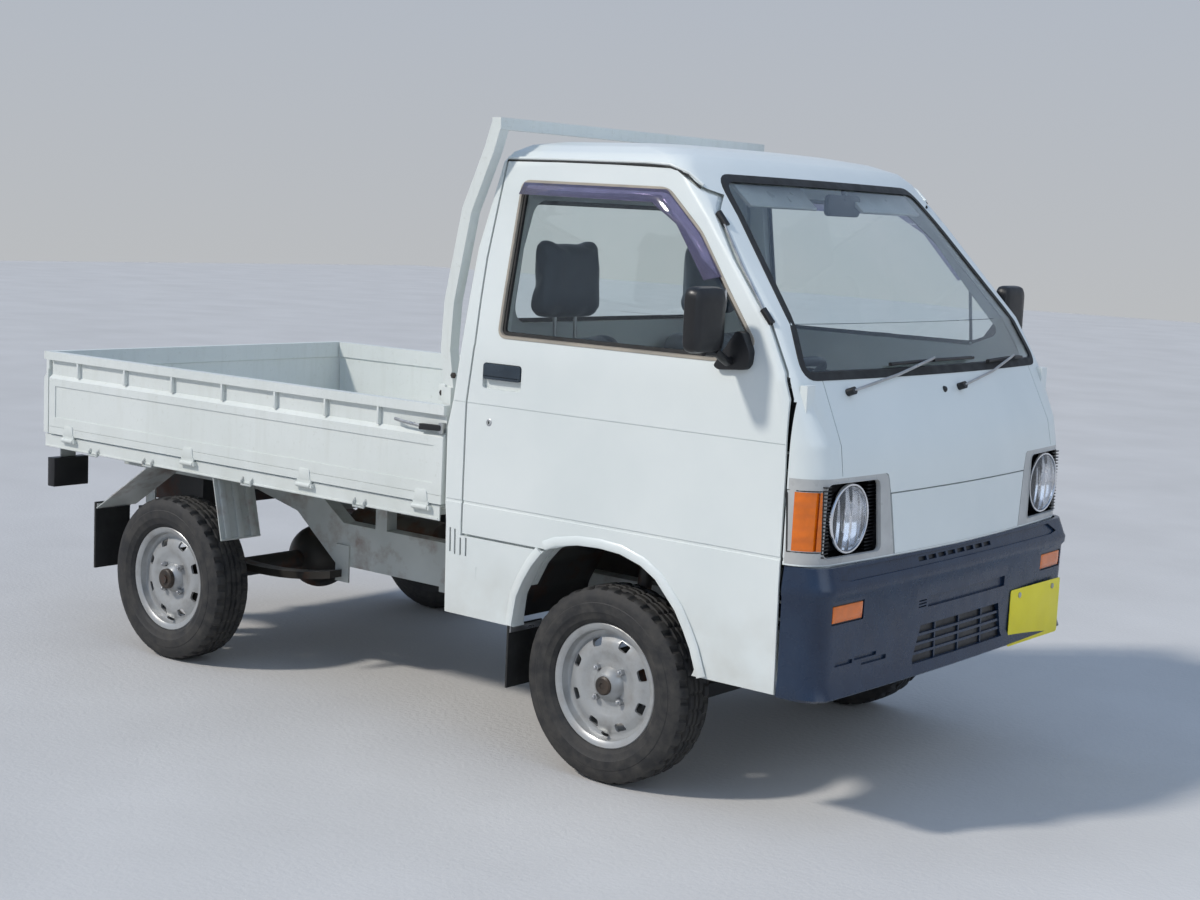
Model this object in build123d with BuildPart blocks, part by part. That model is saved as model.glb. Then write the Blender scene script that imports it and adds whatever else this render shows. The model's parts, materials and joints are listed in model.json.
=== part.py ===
"""Kei truck: cab over the front axle, drop-side load bed, ladder frame, four wheels.

Millimetres. +X is the truck's front, +Y its left side, +Z up. The origin lies on the
ground, under the middle of the overall length and width.
"""

import os

from build123d import *

os.makedirs("parts", exist_ok=True)

# Overall
body_length = 3195
wheelbase = 1820
front_axle_x = 899
rear_axle_x = front_axle_x - wheelbase
bumper_front_x = body_length / 2
side_y = 690

# Fits and gaps
fit = 0.3
pin_clearance = 0.05
move_gap = 7

# Cab walls
cab_side_wall = 45
cab_rear_wall = 30
cab_front_wall = 30
cab_roof_wall = 26

# Cab outer form. Columns: height, rear face x, side face y, x where the bowed front
# meets the side plane, x of the front at the centre line, radius of the front corner
CAB_SECTIONS = [
    (357, 326, 683, 1500, 1545, 46),
    (640, 326, 690, 1505, 1552, 46),
    (686, 321, 690, 1538, 1580, 92),
    (900, 318, 689, 1532, 1574, 92),
    (976, 336, 688, 1519, 1558, 88),
    (1128, 356, 684, 1446, 1492, 50),
    (1260, 360, 663, 1373, 1421, 42),
    (1400, 363, 636, 1250, 1300, 40),
    (1520, 384, 613, 1145, 1195, 40),
    (1640, 405, 590, 1030, 1082, 40),
    (1668, 418, 566, 1000, 1050, 60),
    (1690, 440, 515, 935, 982, 90),
    (1704, 480, 420, 850, 890, 120),
]
cab_rear_corner_r = 16
cab_bottom_z = CAB_SECTIONS[0][0]
roof_seam_z = 1650
roof_split_z = 1625
front_bottom_z = 353
quarter_bottom_z = 376

# Doors: outline seen from the side
door_front_x = 1450
door_rear_x = 398
door_bottom_z = front_bottom_z
door_sill_z = 609
door_front_gap = 8
door_skin = 6
door_flange_inset = 12
door_inner_inset = 24
door_hinge_back = 28
door_hinge_y = side_y - 12
door_hinge_x = door_front_x - door_hinge_back
door_hinge_heights = (560, 930)
door_hinge_length = 36
door_pin_r = 3.5
door_barrel_r = 6.5
door_arm_r = 4.5
door_arm_t = 6
door_arm_reach = (30, 38)
door_post_y = (620, 655)
door_hinge_room = 12

DOOR_UPPER = [
    (door_rear_x, 976),
    (417, 1140),
    (413, 1374),
    (429, 1644),
    (751, 1640),
    (1002, 1632),
    (1104, 1566),
    (1221, 1414),
    (1358, 1260),
    (1421, 1148),
    (1443, 1085),
    (door_front_x, 907),
]
ARCH = [
    (585, 330),
    (604, 465),
    (654, 558),
    (700, 607),
    (817, 640),
    (960, 638),
    (1070, 600),
    (1147, 520),
    (1200, 429),
    (1234, 330),
]
arch_corner_r = 60
DOOR_WINDOW = [
    (496, 1586),
    (498, 1167),
    (1225, 1165),
    (1331, 1208),
    (1231, 1327),
    (1115, 1473),
    (989, 1579),
]
door_window_r = 22

# Windshield and rear window: lower half width, upper half width, heights
windshield_low = (627, 1136)
windshield_high = (492, 1618)
windshield_r = 45
rear_window_low = (500, 1190)
rear_window_high = (450, 1540)
rear_window_r = 50
glass_t = 5

# Front trim and bumper
trim_t = 10
bezel_low_z = 689
bezel_high_z = 898
bezel_inner_y = 345
garnish_half_y = 342
garnish_top_z = 852
lamp_y = 538
lamp_z = 795
lamp_r = 87
bucket_r = 94
lamp_front_x = 1559
bumper_bottom_z = 353
bumper_top_z = 684
bumper_side_x = door_front_x + door_front_gap + 1
bumper_wall = 14
bumper_bow = 44
bumper_corner_r = 105
liner_t = 8

# Cab floor
floor_y = 636
floor_z = (490, 508)
riser_x = (350, 1200)
riser_z = 750
riser_t = 22

# Wheels
tyre_r = 266
rim_flange_r = 169.5
rim_w = 115
front_wheel_y = 601
rear_wheel_y = 611
hub_z = tyre_r
spindle_r = 14

# Load bed
bed_rear_x = -1588
bed_front_x = 300
gate_hinge_z = 662
gate_hinge_y = 690
gate_barrel_r = 7.5
gate_pin_r = 3.5
gate_bottom_z = 677
gate_top_z = 957
gate_outer_y = 688
gate_t = 30
side_gate_front_x = 310
side_gate_rear_x = -1551
deck_top_z = 672
deck_t = 14
deck_half_y = 652
sill_outer_y = 681
sill_bottom_z = 629
sill_inner_y = 652
sill_wall = 4
gate_bracket_t = 7
gate_leaf_t = 6
tailgate_half_y = 683
headboard_x = (270, 298)
headboard_top_z = 1005
guard_w = 36
GATE_HINGES = (-1438, -804, -256, 232)
TAILGATE_HINGES = (-480, 0, 480)
gate_barrel_l = 60

# Chassis
rail_outer_y = 365
rail_w = 52
rail_front_x = 1484
RAIL = [
    (rail_front_x, 400),
    (1180, 352),
    (-450, 352),
    (-640, 500),
    (-838, 545),
    (-1560, 545),
    (-1560, 629),
    (-760, 629),
    (-580, 600),
    (-420, 490),
    (rail_front_x, 490),
]
# Frame cross-members: middle x, low z, high z
FRAME_CROSS = [(1430, 410, 470), (640, 352, 400), (20, 330, 352), (-600, 500, 560), (-1500, 555, 615)]
frame_cross_w = 60
# Deck cross-members: middle x
DECK_CROSS = (-1440, -1130, -700, -250, 205)
deck_cross_w = 50


def block(x, y, z, mode=Mode.ADD):
    """A box between two limits on each axis."""
    with Locations(((x[0] + x[1]) / 2, (y[0] + y[1]) / 2, (z[0] + z[1]) / 2)):
        Box(x[1] - x[0], y[1] - y[0], z[1] - z[0], mode=mode)


def side_prism(points, y_low, y_high, radius=0, grow=0):
    """A solid whose side view is an outline of x, z points, between two values of y."""
    with BuildPart() as prism:
        with BuildSketch(Plane.XZ.offset(-y_high)) as outline:
            with BuildLine():
                Polyline(*points, close=True)
            make_face()
            if radius:
                fillet(outline.vertices(), radius)
            if grow:
                offset(amount=grow, kind=Kind.INTERSECTION)
        extrude(amount=y_high - y_low)
    return prism.part


def front_prism(points, x_low, x_high, radius=0):
    """A solid whose front view is an outline of y, z points, between two values of x."""
    with BuildPart() as prism:
        with BuildSketch(Plane.YZ.offset(x_low)) as outline:
            with BuildLine():
                Polyline(*points, close=True)
            make_face()
            if radius:
                fillet(outline.vertices(), radius)
        extrude(amount=x_high - x_low)
    return prism.part


def cab_form(side_in=0, rear_in=0, front_in=0, roof_in=0):
    """The closed outer form of the cab, moved inwards by a distance on each face."""
    with BuildPart() as form:
        for z, rear_x, half_y, corner_x, front_x, corner_r in CAB_SECTIONS:
            lift = -roof_in if z > roof_seam_z else 0
            height = z + lift
            y = half_y - side_in
            r_front = max(corner_r - front_in, 12)
            r_rear = max(cab_rear_corner_r - rear_in, 4)
            with BuildSketch(Plane.XY.offset(height)) as plan:
                with BuildLine():
                    Line((rear_x + rear_in, -y), (rear_x + rear_in, y))
                    Line((rear_x + rear_in, y), (corner_x - front_in, y))
                    ThreePointArc(
                        (corner_x - front_in, y),
                        (front_x - front_in, 0),
                        (corner_x - front_in, -y),
                    )
                    Line((corner_x - front_in, -y), (rear_x + rear_in, -y))
                make_face()
                fillet(plan.vertices().group_by(Axis.X)[-1], r_front)
                fillet(plan.vertices().group_by(Axis.X)[0], r_rear)
        loft(ruled=True)
    return form.part


def bumper_form(inset, low, high):
    """The bumper's plan outline as a solid, moved inwards by a distance."""
    x = bumper_front_x - bumper_bow - inset
    y = side_y + 1 - inset
    back_x = bumper_side_x - 60
    with BuildPart() as form:
        with BuildSketch(Plane.XY.offset(low)) as plan:
            with BuildLine():
                Line((back_x, -y), (back_x, y))
                Line((back_x, y), (x, y))
                ThreePointArc((x, y), (bumper_front_x - inset, 0), (x, -y))
                Line((x, -y), (back_x, -y))
            make_face()
            fillet(plan.vertices().group_by(Axis.X)[-1], bumper_corner_r - inset)
        extrude(amount=high - low)
    return form.part


def trapezoid(low, high):
    """Corner points from the half width and height of a lower and an upper edge."""
    return [(-low[0], low[1]), (low[0], low[1]), (high[0], high[1]), (-high[0], high[1])]


def write(builder, name):
    """Labels a finished piece and writes it to its own file."""
    builder.part.label = name
    export_step(builder.part, f"parts/{name}.step")


# Regions that cut and split the cab
far = 900
door_points = DOOR_UPPER + [
    (door_front_x, door_bottom_z),
    (front_axle_x, door_bottom_z),
    (front_axle_x, door_sill_z),
    (door_rear_x, door_sill_z),
]
cab_outer = cab_form()
cab_inner = cab_form(cab_side_wall, cab_rear_wall, cab_front_wall, cab_roof_wall)
skin_back = cab_form(door_skin, 0, door_skin, 0)
flange_front = cab_form(door_skin + move_gap, 0, door_skin + move_gap, 0)
door_full = side_prism(door_points, -far, far)
door_open_outer = side_prism(door_points, -far, far, grow=move_gap)
door_open_inner = side_prism(door_points, -far, far, grow=-door_flange_inset)
door_inner_box = side_prism(door_points, -far, far, grow=-door_inner_inset)
door_swing_room = side_prism(door_points, -far, far, grow=move_gap + 2)
arch_prism = side_prism(ARCH, -far, far, radius=arch_corner_r)
arch_liner_prism = side_prism(ARCH, -far, far, radius=arch_corner_r, grow=liner_t)
windshield_prism = front_prism(trapezoid(windshield_low, windshield_high), 950, 1600, windshield_r)
rear_window_prism = front_prism(trapezoid(rear_window_low, rear_window_high), 250, 480, rear_window_r)

with BuildPart() as bezel_region:
    block((1462, 1700), (bezel_inner_y, far), (bezel_low_z, bezel_high_z))
    block((1462, 1700), (-far, -bezel_inner_y), (bezel_low_z, bezel_high_z))
with BuildPart() as garnish_region:
    block((1462, 1700), (-garnish_half_y, garnish_half_y), (bezel_low_z + 1, garnish_top_z))
with BuildPart() as trim_region:
    add(bezel_region.part)
    block((1462, 1700), (-bezel_inner_y, bezel_inner_y), (bezel_low_z, garnish_top_z + 1))
with BuildPart() as bumper_ring:
    add(bumper_form(0, bumper_bottom_z, bumper_top_z))
    add(bumper_form(bumper_wall, bumper_bottom_z, bumper_top_z), mode=Mode.SUBTRACT)
    block((0, bumper_side_x), (-far, far), (0, far), mode=Mode.SUBTRACT)

with BuildPart() as door_rebate:
    add(door_open_outer)
    add(flange_front, mode=Mode.SUBTRACT)
with BuildPart() as swing_cut:
    add(door_swing_room)
    block((1380, 1470), (-far, far), (1079, windshield_low[1] + 1), mode=Mode.INTERSECT)
with BuildPart() as trim_cut:
    add(trim_region.part)
    add(cab_form(trim_t + fit, trim_t + fit, trim_t + fit), mode=Mode.SUBTRACT)
with BuildPart() as bumper_cut:
    add(bumper_form(-1, bumper_bottom_z - 20, bumper_top_z + 1))
    add(bumper_form(bumper_wall + 1, bumper_bottom_z - 20, bumper_top_z + 1), mode=Mode.SUBTRACT)

# Cab shell, hollow, with every opening cut
with BuildPart() as shell:
    add(cab_outer)
    add(cab_inner, mode=Mode.SUBTRACT)
    add(arch_prism, mode=Mode.SUBTRACT)
    add(windshield_prism, mode=Mode.SUBTRACT)
    add(rear_window_prism, mode=Mode.SUBTRACT)
    add(door_open_inner, mode=Mode.SUBTRACT)
    add(door_rebate.part, mode=Mode.SUBTRACT)
    add(swing_cut.part, mode=Mode.SUBTRACT)
    block((1300, door_front_x + door_front_gap), (-far, far), (0, 1080), mode=Mode.SUBTRACT)
    block((front_axle_x, 1301), (-far, far), (0, cab_bottom_z + 12), mode=Mode.SUBTRACT)
    block((200, 640), (-far, far), (300, quarter_bottom_z), mode=Mode.SUBTRACT)
    add(trim_cut.part, mode=Mode.SUBTRACT)
    add(bumper_cut.part, mode=Mode.SUBTRACT)
    with Locations(
        Plane(origin=(1400, lamp_y, lamp_z), z_dir=(1, 0, 0)),
        Plane(origin=(1400, -lamp_y, lamp_z), z_dir=(1, 0, 0)),
    ):
        Cylinder(bucket_r + fit, 400, mode=Mode.SUBTRACT)

# Cab rear wall with the pillars behind the doors and the lower quarters
with BuildPart() as rear_region:
    block((200, 640), (-far, far), (300, roof_split_z))
    block((200, front_axle_x), (-far, far), (300, 640))
with BuildPart() as cab_rear_wall:
    add(shell.part)
    add(rear_region.part, mode=Mode.INTERSECT)
    block((200, 400), (-590, 590), (300, floor_z[0]), mode=Mode.SUBTRACT)
write(cab_rear_wall, "cab_rear_wall")

# Roof with the rails over the doors and the windshield header
with BuildPart() as cab_roof:
    add(shell.part)
    block((200, 1700), (-far, far), (roof_split_z, 1900), mode=Mode.INTERSECT)
write(cab_roof, "cab_roof")

# Pillars beside the windshield
with BuildPart() as windshield_pillars:
    add(shell.part)
    block((640, 1700), (-far, far), (windshield_low[1], roof_split_z), mode=Mode.INTERSECT)
write(windshield_pillars, "windshield_pillars")

# Front panel with the door posts and the fixed half of each door hinge
hinge_arm_x = (door_hinge_x - door_arm_r, door_hinge_x + door_arm_r)
with BuildPart() as cab_front_panel:
    add(shell.part)
    block((front_axle_x, 1700), (-far, far), (300, windshield_low[1]), mode=Mode.INTERSECT)
    for side in (-1, 1):
        post_y = sorted((side * door_post_y[0], side * door_post_y[1]))
        block((door_front_x + door_front_gap, 1478), post_y, (380, 1120))
        reach = [door_hinge_y - d for d in door_arm_reach]
        arm_y = sorted(side * v for v in reach)
        arm_run_y = sorted((side * door_hinge_y, side * reach[1]))
        for middle in door_hinge_heights:
            for end in (-1, 1):
                low = middle + end * (door_hinge_length / 2 + 1)
                arm_z = sorted((low, low + end * door_arm_t))
                block(hinge_arm_x, arm_run_y, arm_z)
                block((door_hinge_x, door_front_x + door_front_gap + 4), arm_y, arm_z)
            with Locations((door_hinge_x, side * door_hinge_y, middle)):
                Cylinder(door_arm_r, door_hinge_length + 2 + 2 * door_arm_t)
            with Locations((door_hinge_x, side * door_hinge_y, middle)):
                Cylinder(30, door_hinge_length + 2, mode=Mode.SUBTRACT)
            with Locations((door_hinge_x, side * door_hinge_y, middle)):
                Cylinder(door_pin_r, door_hinge_length + 2)
write(cab_front_panel, "cab_front_panel")

# Cab floor: footwell, seat riser and wheelhouse liners
with BuildPart() as cab_floor:
    block((riser_x[0], 1600), (-floor_y, floor_y), floor_z)
    block(riser_x, (-floor_y, floor_y), (floor_z[0], riser_z))
    block(
        (riser_x[0] + riser_t + 8, riser_x[1] - riser_t),
        (-floor_y + riser_t, floor_y - riser_t),
        (floor_z[0] - 1, riser_z - riser_t),
        mode=Mode.SUBTRACT,
    )
    add(cab_inner, mode=Mode.INTERSECT)
    for side in (-1, 1):
        rocker_y = sorted((side * 600, side * floor_y))
        block((1250, 1440), rocker_y, (380, floor_z[0]))
        post_y = sorted((side * door_post_y[0], side * door_post_y[1]))
        block((door_front_x, 1700), post_y, (300, floor_z[1] + 1), mode=Mode.SUBTRACT)
    add(arch_prism, mode=Mode.SUBTRACT)
with BuildPart() as liner:
    add(arch_liner_prism)
    add(arch_prism, mode=Mode.SUBTRACT)
    block((500, 1300), (rail_outer_y + 8, floor_y), (400, 700), mode=Mode.INTERSECT)
with BuildPart() as wheel_liners:
    add(liner.part)
    mirror(about=Plane.XZ)
    add(cab_floor.part, mode=Mode.SUBTRACT)
write(cab_floor, "cab_floor")
write(wheel_liners, "wheel_liners")

# Doors, with an outer skin that overlaps the body's rebate and half of each hinge
with BuildPart() as window_cut:
    add(side_prism(DOOR_WINDOW, -far, far, radius=door_window_r))
with BuildPart() as door_core:
    add(cab_outer)
    add(cab_inner, mode=Mode.SUBTRACT)
    add(door_inner_box, mode=Mode.INTERSECT)
    block((door_hinge_x - door_hinge_room, 1700), (-far, far), (0, 1140), mode=Mode.SUBTRACT)
with BuildPart() as door_right:
    add(cab_outer)
    add(skin_back, mode=Mode.SUBTRACT)
    add(door_full, mode=Mode.INTERSECT)
    add(door_core.part)
    block((0, 2000), (-far, 0), (0, 2000), mode=Mode.INTERSECT)
    add(arch_prism, mode=Mode.SUBTRACT)
    add(window_cut.part, mode=Mode.SUBTRACT)
    for middle in door_hinge_heights:
        lug_z = (middle - door_hinge_length / 2, middle + door_hinge_length / 2)
        arm_room = door_hinge_length + 2 * door_arm_t + 6
        with Locations((door_hinge_x, -door_hinge_y, middle)):
            Cylinder(door_arm_r + 1.5, arm_room, mode=Mode.SUBTRACT)
        with Locations((door_hinge_x, -door_hinge_y, middle)):
            Cylinder(door_barrel_r, door_hinge_length)
        lug_y = (-door_hinge_y - 5, -door_hinge_y + 5)
        block((door_hinge_x - door_hinge_room - 1, door_hinge_x), lug_y, lug_z)
        with Locations((door_hinge_x, -door_hinge_y, middle)):
            Cylinder(door_pin_r + pin_clearance, arm_room, mode=Mode.SUBTRACT)
write(door_right, "door_right")
with BuildPart() as door_left:
    mirror(door_right.part, about=Plane.XZ)
write(door_left, "door_left")

pane_depth = (14, 18)
with BuildPart() as pane_layer:
    add(cab_form(pane_depth[0], 0, pane_depth[0]))
    add(cab_form(pane_depth[1], 0, pane_depth[1]), mode=Mode.SUBTRACT)
with BuildPart() as door_glass_right:
    add(pane_layer.part)
    add(side_prism(DOOR_WINDOW, -far, 0, radius=door_window_r, grow=-fit), mode=Mode.INTERSECT)
write(door_glass_right, "door_glass_right")
with BuildPart() as door_glass_left:
    mirror(door_glass_right.part, about=Plane.XZ)
write(door_glass_left, "door_glass_left")

# Fixed glass
with BuildPart() as windshield_layer:
    add(cab_form(2, 2, 2))
    add(cab_form(2 + glass_t, 2 + glass_t, 2 + glass_t), mode=Mode.SUBTRACT)
with BuildPart() as windshield:
    add(windshield_layer.part)
    add(front_prism(trapezoid(windshield_low, windshield_high), 950, 1600, windshield_r), mode=Mode.INTERSECT)
write(windshield, "windshield")
with BuildPart() as rear_window:
    add(windshield_layer.part)
    add(rear_window_prism, mode=Mode.INTERSECT)
write(rear_window, "rear_window")

# Front trim: bezels, garnish, lamps
with BuildPart() as trim_layer:
    add(cab_form())
    add(cab_form(trim_t, trim_t, trim_t), mode=Mode.SUBTRACT)
corner_lamp_y = 642
corner_lamp_z = (722, 866)
corner_lamp_x = 1478
lamp_window = (436, 628)
lamp_window_z = (706, 884)
with BuildPart() as lamp_openings:
    for side in (-1, 1):
        window_y = sorted((side * lamp_window[0], side * lamp_window[1]))
        block((1462, 1700), window_y, lamp_window_z)
with BuildPart() as corner_openings:
    for side in (-1, 1):
        corner_y = sorted((side * corner_lamp_y, side * far))
        block((corner_lamp_x, 1700), corner_y, corner_lamp_z)
with BuildPart() as headlamp_bezels:
    add(trim_layer.part)
    add(bezel_region.part, mode=Mode.INTERSECT)
    add(lamp_openings.part, mode=Mode.SUBTRACT)
    add(corner_openings.part, mode=Mode.SUBTRACT)
write(headlamp_bezels, "headlamp_bezels")
with BuildPart() as front_garnish:
    add(trim_layer.part)
    add(garnish_region.part, mode=Mode.INTERSECT)
write(front_garnish, "front_garnish")

bucket_back_x = lamp_front_x - 78
with BuildPart() as headlamps:
    for side in (-1, 1):
        front = Plane(origin=(bucket_back_x, side * lamp_y, lamp_z), z_dir=(1, 0, 0))
        with BuildSketch(front):
            Circle(bucket_r)
        extrude(amount=20)
        with BuildSketch(front.offset(20)):
            Circle(lamp_r)
        extrude(amount=52)
write(headlamps, "headlamps")

bumper_lamp_y = (520, 610)
bumper_lamp_z = (542, 592)
with BuildPart() as bumper_lamp_cut:
    for side in (-1, 1):
        block((1500, 1700), sorted((side * bumper_lamp_y[0], side * bumper_lamp_y[1])), bumper_lamp_z)
with BuildPart() as bumper_pads:
    for side in (-1, 1):
        block((1480, bumper_front_x), sorted((side * 290, side * 360)), (430, 500))
    add(bumper_form(bumper_wall, bumper_bottom_z, bumper_top_z), mode=Mode.INTERSECT)
    add(cab_outer, mode=Mode.SUBTRACT)
with BuildPart() as bumper:
    add(bumper_ring.part)
    add(bumper_lamp_cut.part, mode=Mode.SUBTRACT)
    add(bumper_pads.part)
write(bumper, "bumper")
with BuildPart() as corner_lens:
    add(trim_layer.part)
    add(bezel_region.part, mode=Mode.INTERSECT)
    add(corner_openings.part, mode=Mode.INTERSECT)
with BuildPart() as bumper_lens:
    add(bumper_ring.part)
    add(bumper_lamp_cut.part, mode=Mode.INTERSECT)
with BuildPart() as amber_lamps:
    add(corner_lens.part)
    add(bumper_lens.part)
write(amber_lamps, "amber_lamps")

# Inside: dashboard with steering column, steering wheel, seats
dash_points = [(1262, 1040), (1290, 1095), (1430, 1108), (1468, 1060), (1468, 880), (1330, 860), (1268, 930)]
wheel_centre = (1120, -340, 1060)
column_dir = (-0.5, 0, 0.866)
wheel_ring_r = 185
column_plane = Plane(origin=wheel_centre, z_dir=column_dir)
with BuildPart() as dashboard:
    add(side_prism(dash_points, -612, 612, radius=12))
    block((1235, 1330), (-365, -315), (815, 890))
    with BuildSketch(column_plane.offset(-640)):
        Circle(16)
    extrude(amount=610)
    with BuildSketch(column_plane.offset(-330)):
        Circle(34)
    extrude(amount=300)
    add(cab_inner, mode=Mode.INTERSECT)
    block((1000, 1700), (-700, 700), (0, floor_z[1]), mode=Mode.SUBTRACT)
write(dashboard, "dashboard")

with BuildPart() as steering_wheel:
    with Locations(column_plane):
        Torus(wheel_ring_r, 13)
        Cylinder(32, 34)
    for angle in (0, 120, 240):
        with Locations(column_plane * Rotation(0, 0, angle + 90) * Pos(wheel_ring_r / 2, 0, -4)):
            Box(wheel_ring_r - 8, 22, 8)
    with Locations(column_plane.offset(-22)):
        Cylinder(12, 15.4)
write(steering_wheel, "steering_wheel")

seat_y = (120, 590)
with BuildPart() as seat_right:
    with BuildSketch(Plane.XZ.offset(seat_y[0])):
        with BuildLine():
            Polyline((470, riser_z), (1010, riser_z), (1030, 835), (1000, 868), (560, 845), (505, 1150),
                     (488, 1330), (480, 1460), (420, 1455), (405, 1150), (440, 800), close=True)
        make_face()
    extrude(amount=seat_y[1] - seat_y[0])
    head_low = 1190
    for side_cut in ((seat_y[0] - 1, seat_y[0] + 95), (seat_y[1] - 95, seat_y[1] + 1)):
        block((380, 600), (-side_cut[1], -side_cut[0]), (head_low, 1500), mode=Mode.SUBTRACT)
write(seat_right, "seat_right")
with BuildPart() as seat_left:
    mirror(seat_right.part, about=Plane.XZ)
write(seat_left, "seat_left")

# Chassis frame
with BuildPart() as chassis_frame:
    add(side_prism(RAIL, rail_outer_y - rail_w, rail_outer_y))
    mirror(about=Plane.XZ)
    for middle, low, high in FRAME_CROSS:
        half = frame_cross_w / 2
        block((middle - half, middle + half), (20 - rail_outer_y, rail_outer_y - 20), (low, high))
    for side in (-1, 1):
        tower_y = sorted((side * (rail_outer_y - 44), side * rail_outer_y))
        for middle in DECK_CROSS[3:]:
            block((middle - 25, middle + 25), tower_y, (480, sill_bottom_z))
        hanger_y = sorted((side * rail_outer_y, side * (rail_outer_y + 7)))
        block((-446, -386), hanger_y, (300, 420))
        block((-1425, -1375), hanger_y, (385, 570))
write(chassis_frame, "chassis_frame")

# Load bed
with BuildPart() as bed_deck:
    block((bed_rear_x + 8, headboard_x[0]), (-deck_half_y, deck_half_y), (deck_top_z - deck_t, deck_top_z))
    for middle in DECK_CROSS:
        half = deck_cross_w / 2
        block((middle - half, middle + half), (-sill_outer_y + 2, sill_outer_y - 2), (sill_bottom_z, deck_top_z - 2))
    for side in (-1, 1):
        sill_y = sorted((side * (sill_outer_y - sill_wall), side * sill_outer_y))
        top_y = sorted((side * sill_inner_y, side * sill_outer_y))
        block((bed_rear_x + 8, bed_front_x), sill_y, (sill_bottom_z, deck_top_z))
        block((bed_rear_x + 8, bed_front_x), top_y, (deck_top_z - sill_wall, deck_top_z))
        for middle in GATE_HINGES:
            for end in (-1, 1):
                face = middle + end * (gate_barrel_l / 2 + 1)
                bracket_x = sorted((face, face + end * gate_bracket_t))
                bracket_y = sorted((side * (sill_outer_y - 1), side * (gate_hinge_y + 4.5)))
                block(bracket_x, bracket_y, (gate_hinge_z - 6, gate_hinge_z + 6))
            with Locations(Plane(origin=(middle, side * gate_hinge_y, gate_hinge_z), z_dir=(1, 0, 0))):
                Cylinder(gate_pin_r, gate_barrel_l + 4)
    block((bed_rear_x + 8, bed_rear_x + 8 + sill_wall), (-sill_outer_y, sill_outer_y), (sill_bottom_z, deck_top_z))
    for middle in TAILGATE_HINGES:
        for end in (-1, 1):
            face = middle + end * (gate_barrel_l / 2 + 1)
            bracket_y = sorted((face, face + end * gate_bracket_t))
            block((bed_rear_x - 6.5, bed_rear_x + 10), bracket_y, (gate_hinge_z - 6, gate_hinge_z + 6))
        with Locations(Plane(origin=(bed_rear_x - 2, middle, gate_hinge_z), z_dir=(0, 1, 0))):
            Cylinder(gate_pin_r, gate_barrel_l + 4)
write(bed_deck, "bed_deck")

# Gate section: depth from the outer face, height
GATE_SECTION = [
    (0, gate_bottom_z),
    (0, 867),
    (14, 880),
    (14, 905),
    (0, 905),
    (0, gate_top_z),
    (gate_t, gate_top_z),
    (gate_t, 900),
    (24, 895),
    (24, gate_bottom_z),
]
with BuildPart() as side_gate_right:
    with BuildSketch(Plane.YZ.offset(side_gate_rear_x)):
        with BuildLine():
            Polyline(*[(-gate_outer_y + depth, z) for depth, z in GATE_SECTION], close=True)
        make_face()
    extrude(amount=side_gate_front_x - side_gate_rear_x)
    for middle in GATE_HINGES:
        barrel_x = (middle - gate_barrel_l / 2, middle + gate_barrel_l / 2)
        block(barrel_x, (-gate_hinge_y, -gate_hinge_y + gate_leaf_t), (gate_hinge_z, gate_bottom_z + 4))
        with Locations(Plane(origin=(middle, -gate_hinge_y, gate_hinge_z), z_dir=(1, 0, 0))):
            Cylinder(gate_barrel_r, gate_barrel_l)
            Cylinder(gate_pin_r + pin_clearance, gate_barrel_l, mode=Mode.SUBTRACT)
write(side_gate_right, "side_gate_right")
with BuildPart() as side_gate_left:
    mirror(side_gate_right.part, about=Plane.XZ)
write(side_gate_left, "side_gate_left")
with BuildPart() as tailgate:
    with BuildSketch(Plane.XZ.offset(-tailgate_half_y)):
        with BuildLine():
            Polyline(*[(bed_rear_x + depth, z) for depth, z in GATE_SECTION], close=True)
        make_face()
    extrude(amount=2 * tailgate_half_y)
    for middle in TAILGATE_HINGES:
        barrel_y = (middle - gate_barrel_l / 2, middle + gate_barrel_l / 2)
        block((bed_rear_x - 2, bed_rear_x - 2 + gate_leaf_t), barrel_y, (gate_hinge_z, gate_bottom_z + 4))
        with Locations(Plane(origin=(bed_rear_x - 2, middle, gate_hinge_z), z_dir=(0, 1, 0))):
            Cylinder(gate_barrel_r, gate_barrel_l)
            Cylinder(gate_pin_r + pin_clearance, gate_barrel_l, mode=Mode.SUBTRACT)
write(tailgate, "tailgate")

# Headboard and guard frame behind the cab
GUARD_PATH = [(280, 1000), (262, 1110), (270, 1246), (325, 1503), (400, 1670), (424, 1739)]
with BuildPart() as guard_frame:
    block(headboard_x, (-650, 650), (deck_top_z - deck_t, 965))
    block((headboard_x[0] - 8, headboard_x[1]), (-650, 650), (965, headboard_top_z))
    for low_y in (-640, 604):
        with BuildSketch(Plane.XZ.offset(-low_y - guard_w)):
            with BuildLine():
                Polyline(*GUARD_PATH)
            trace(line_width=guard_w)
        extrude(amount=guard_w)
    block((408, 440), (-640, 640), (1725, 1757))
write(guard_frame, "guard_frame")

# Rear fenders, mud flaps, rear lamps
with BuildPart() as rear_fenders:
    for low_y in (-680, 520):
        front_sheet = [(-690, sill_bottom_z), (-686, sill_bottom_z), (-640, 433), (-645, 433)]
        rear_sheet = [(-1010, sill_bottom_z), (-1004, sill_bottom_z), (-1286, 450), (-1292, 450)]
        add(side_prism(front_sheet, low_y, low_y + 160))
        add(side_prism(rear_sheet, low_y, low_y + 160))
write(rear_fenders, "rear_fenders")
with BuildPart() as mud_flaps:
    for low_y in (-680, 540):
        block((-1300, -1292), (low_y, low_y + 140), (245, 470))
        block((570, 576), (low_y, low_y + 140), (200, 376))
write(mud_flaps, "mud_flaps")
with BuildPart() as rear_lamps:
    for low_y in (-675, 535):
        block((-1575, -1535), (low_y, low_y + 140), (490, 590))
        block((-1560, -1554), (low_y + 40, low_y + 100), (590, deck_top_z - deck_t))
write(rear_lamps, "rear_lamps")

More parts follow.
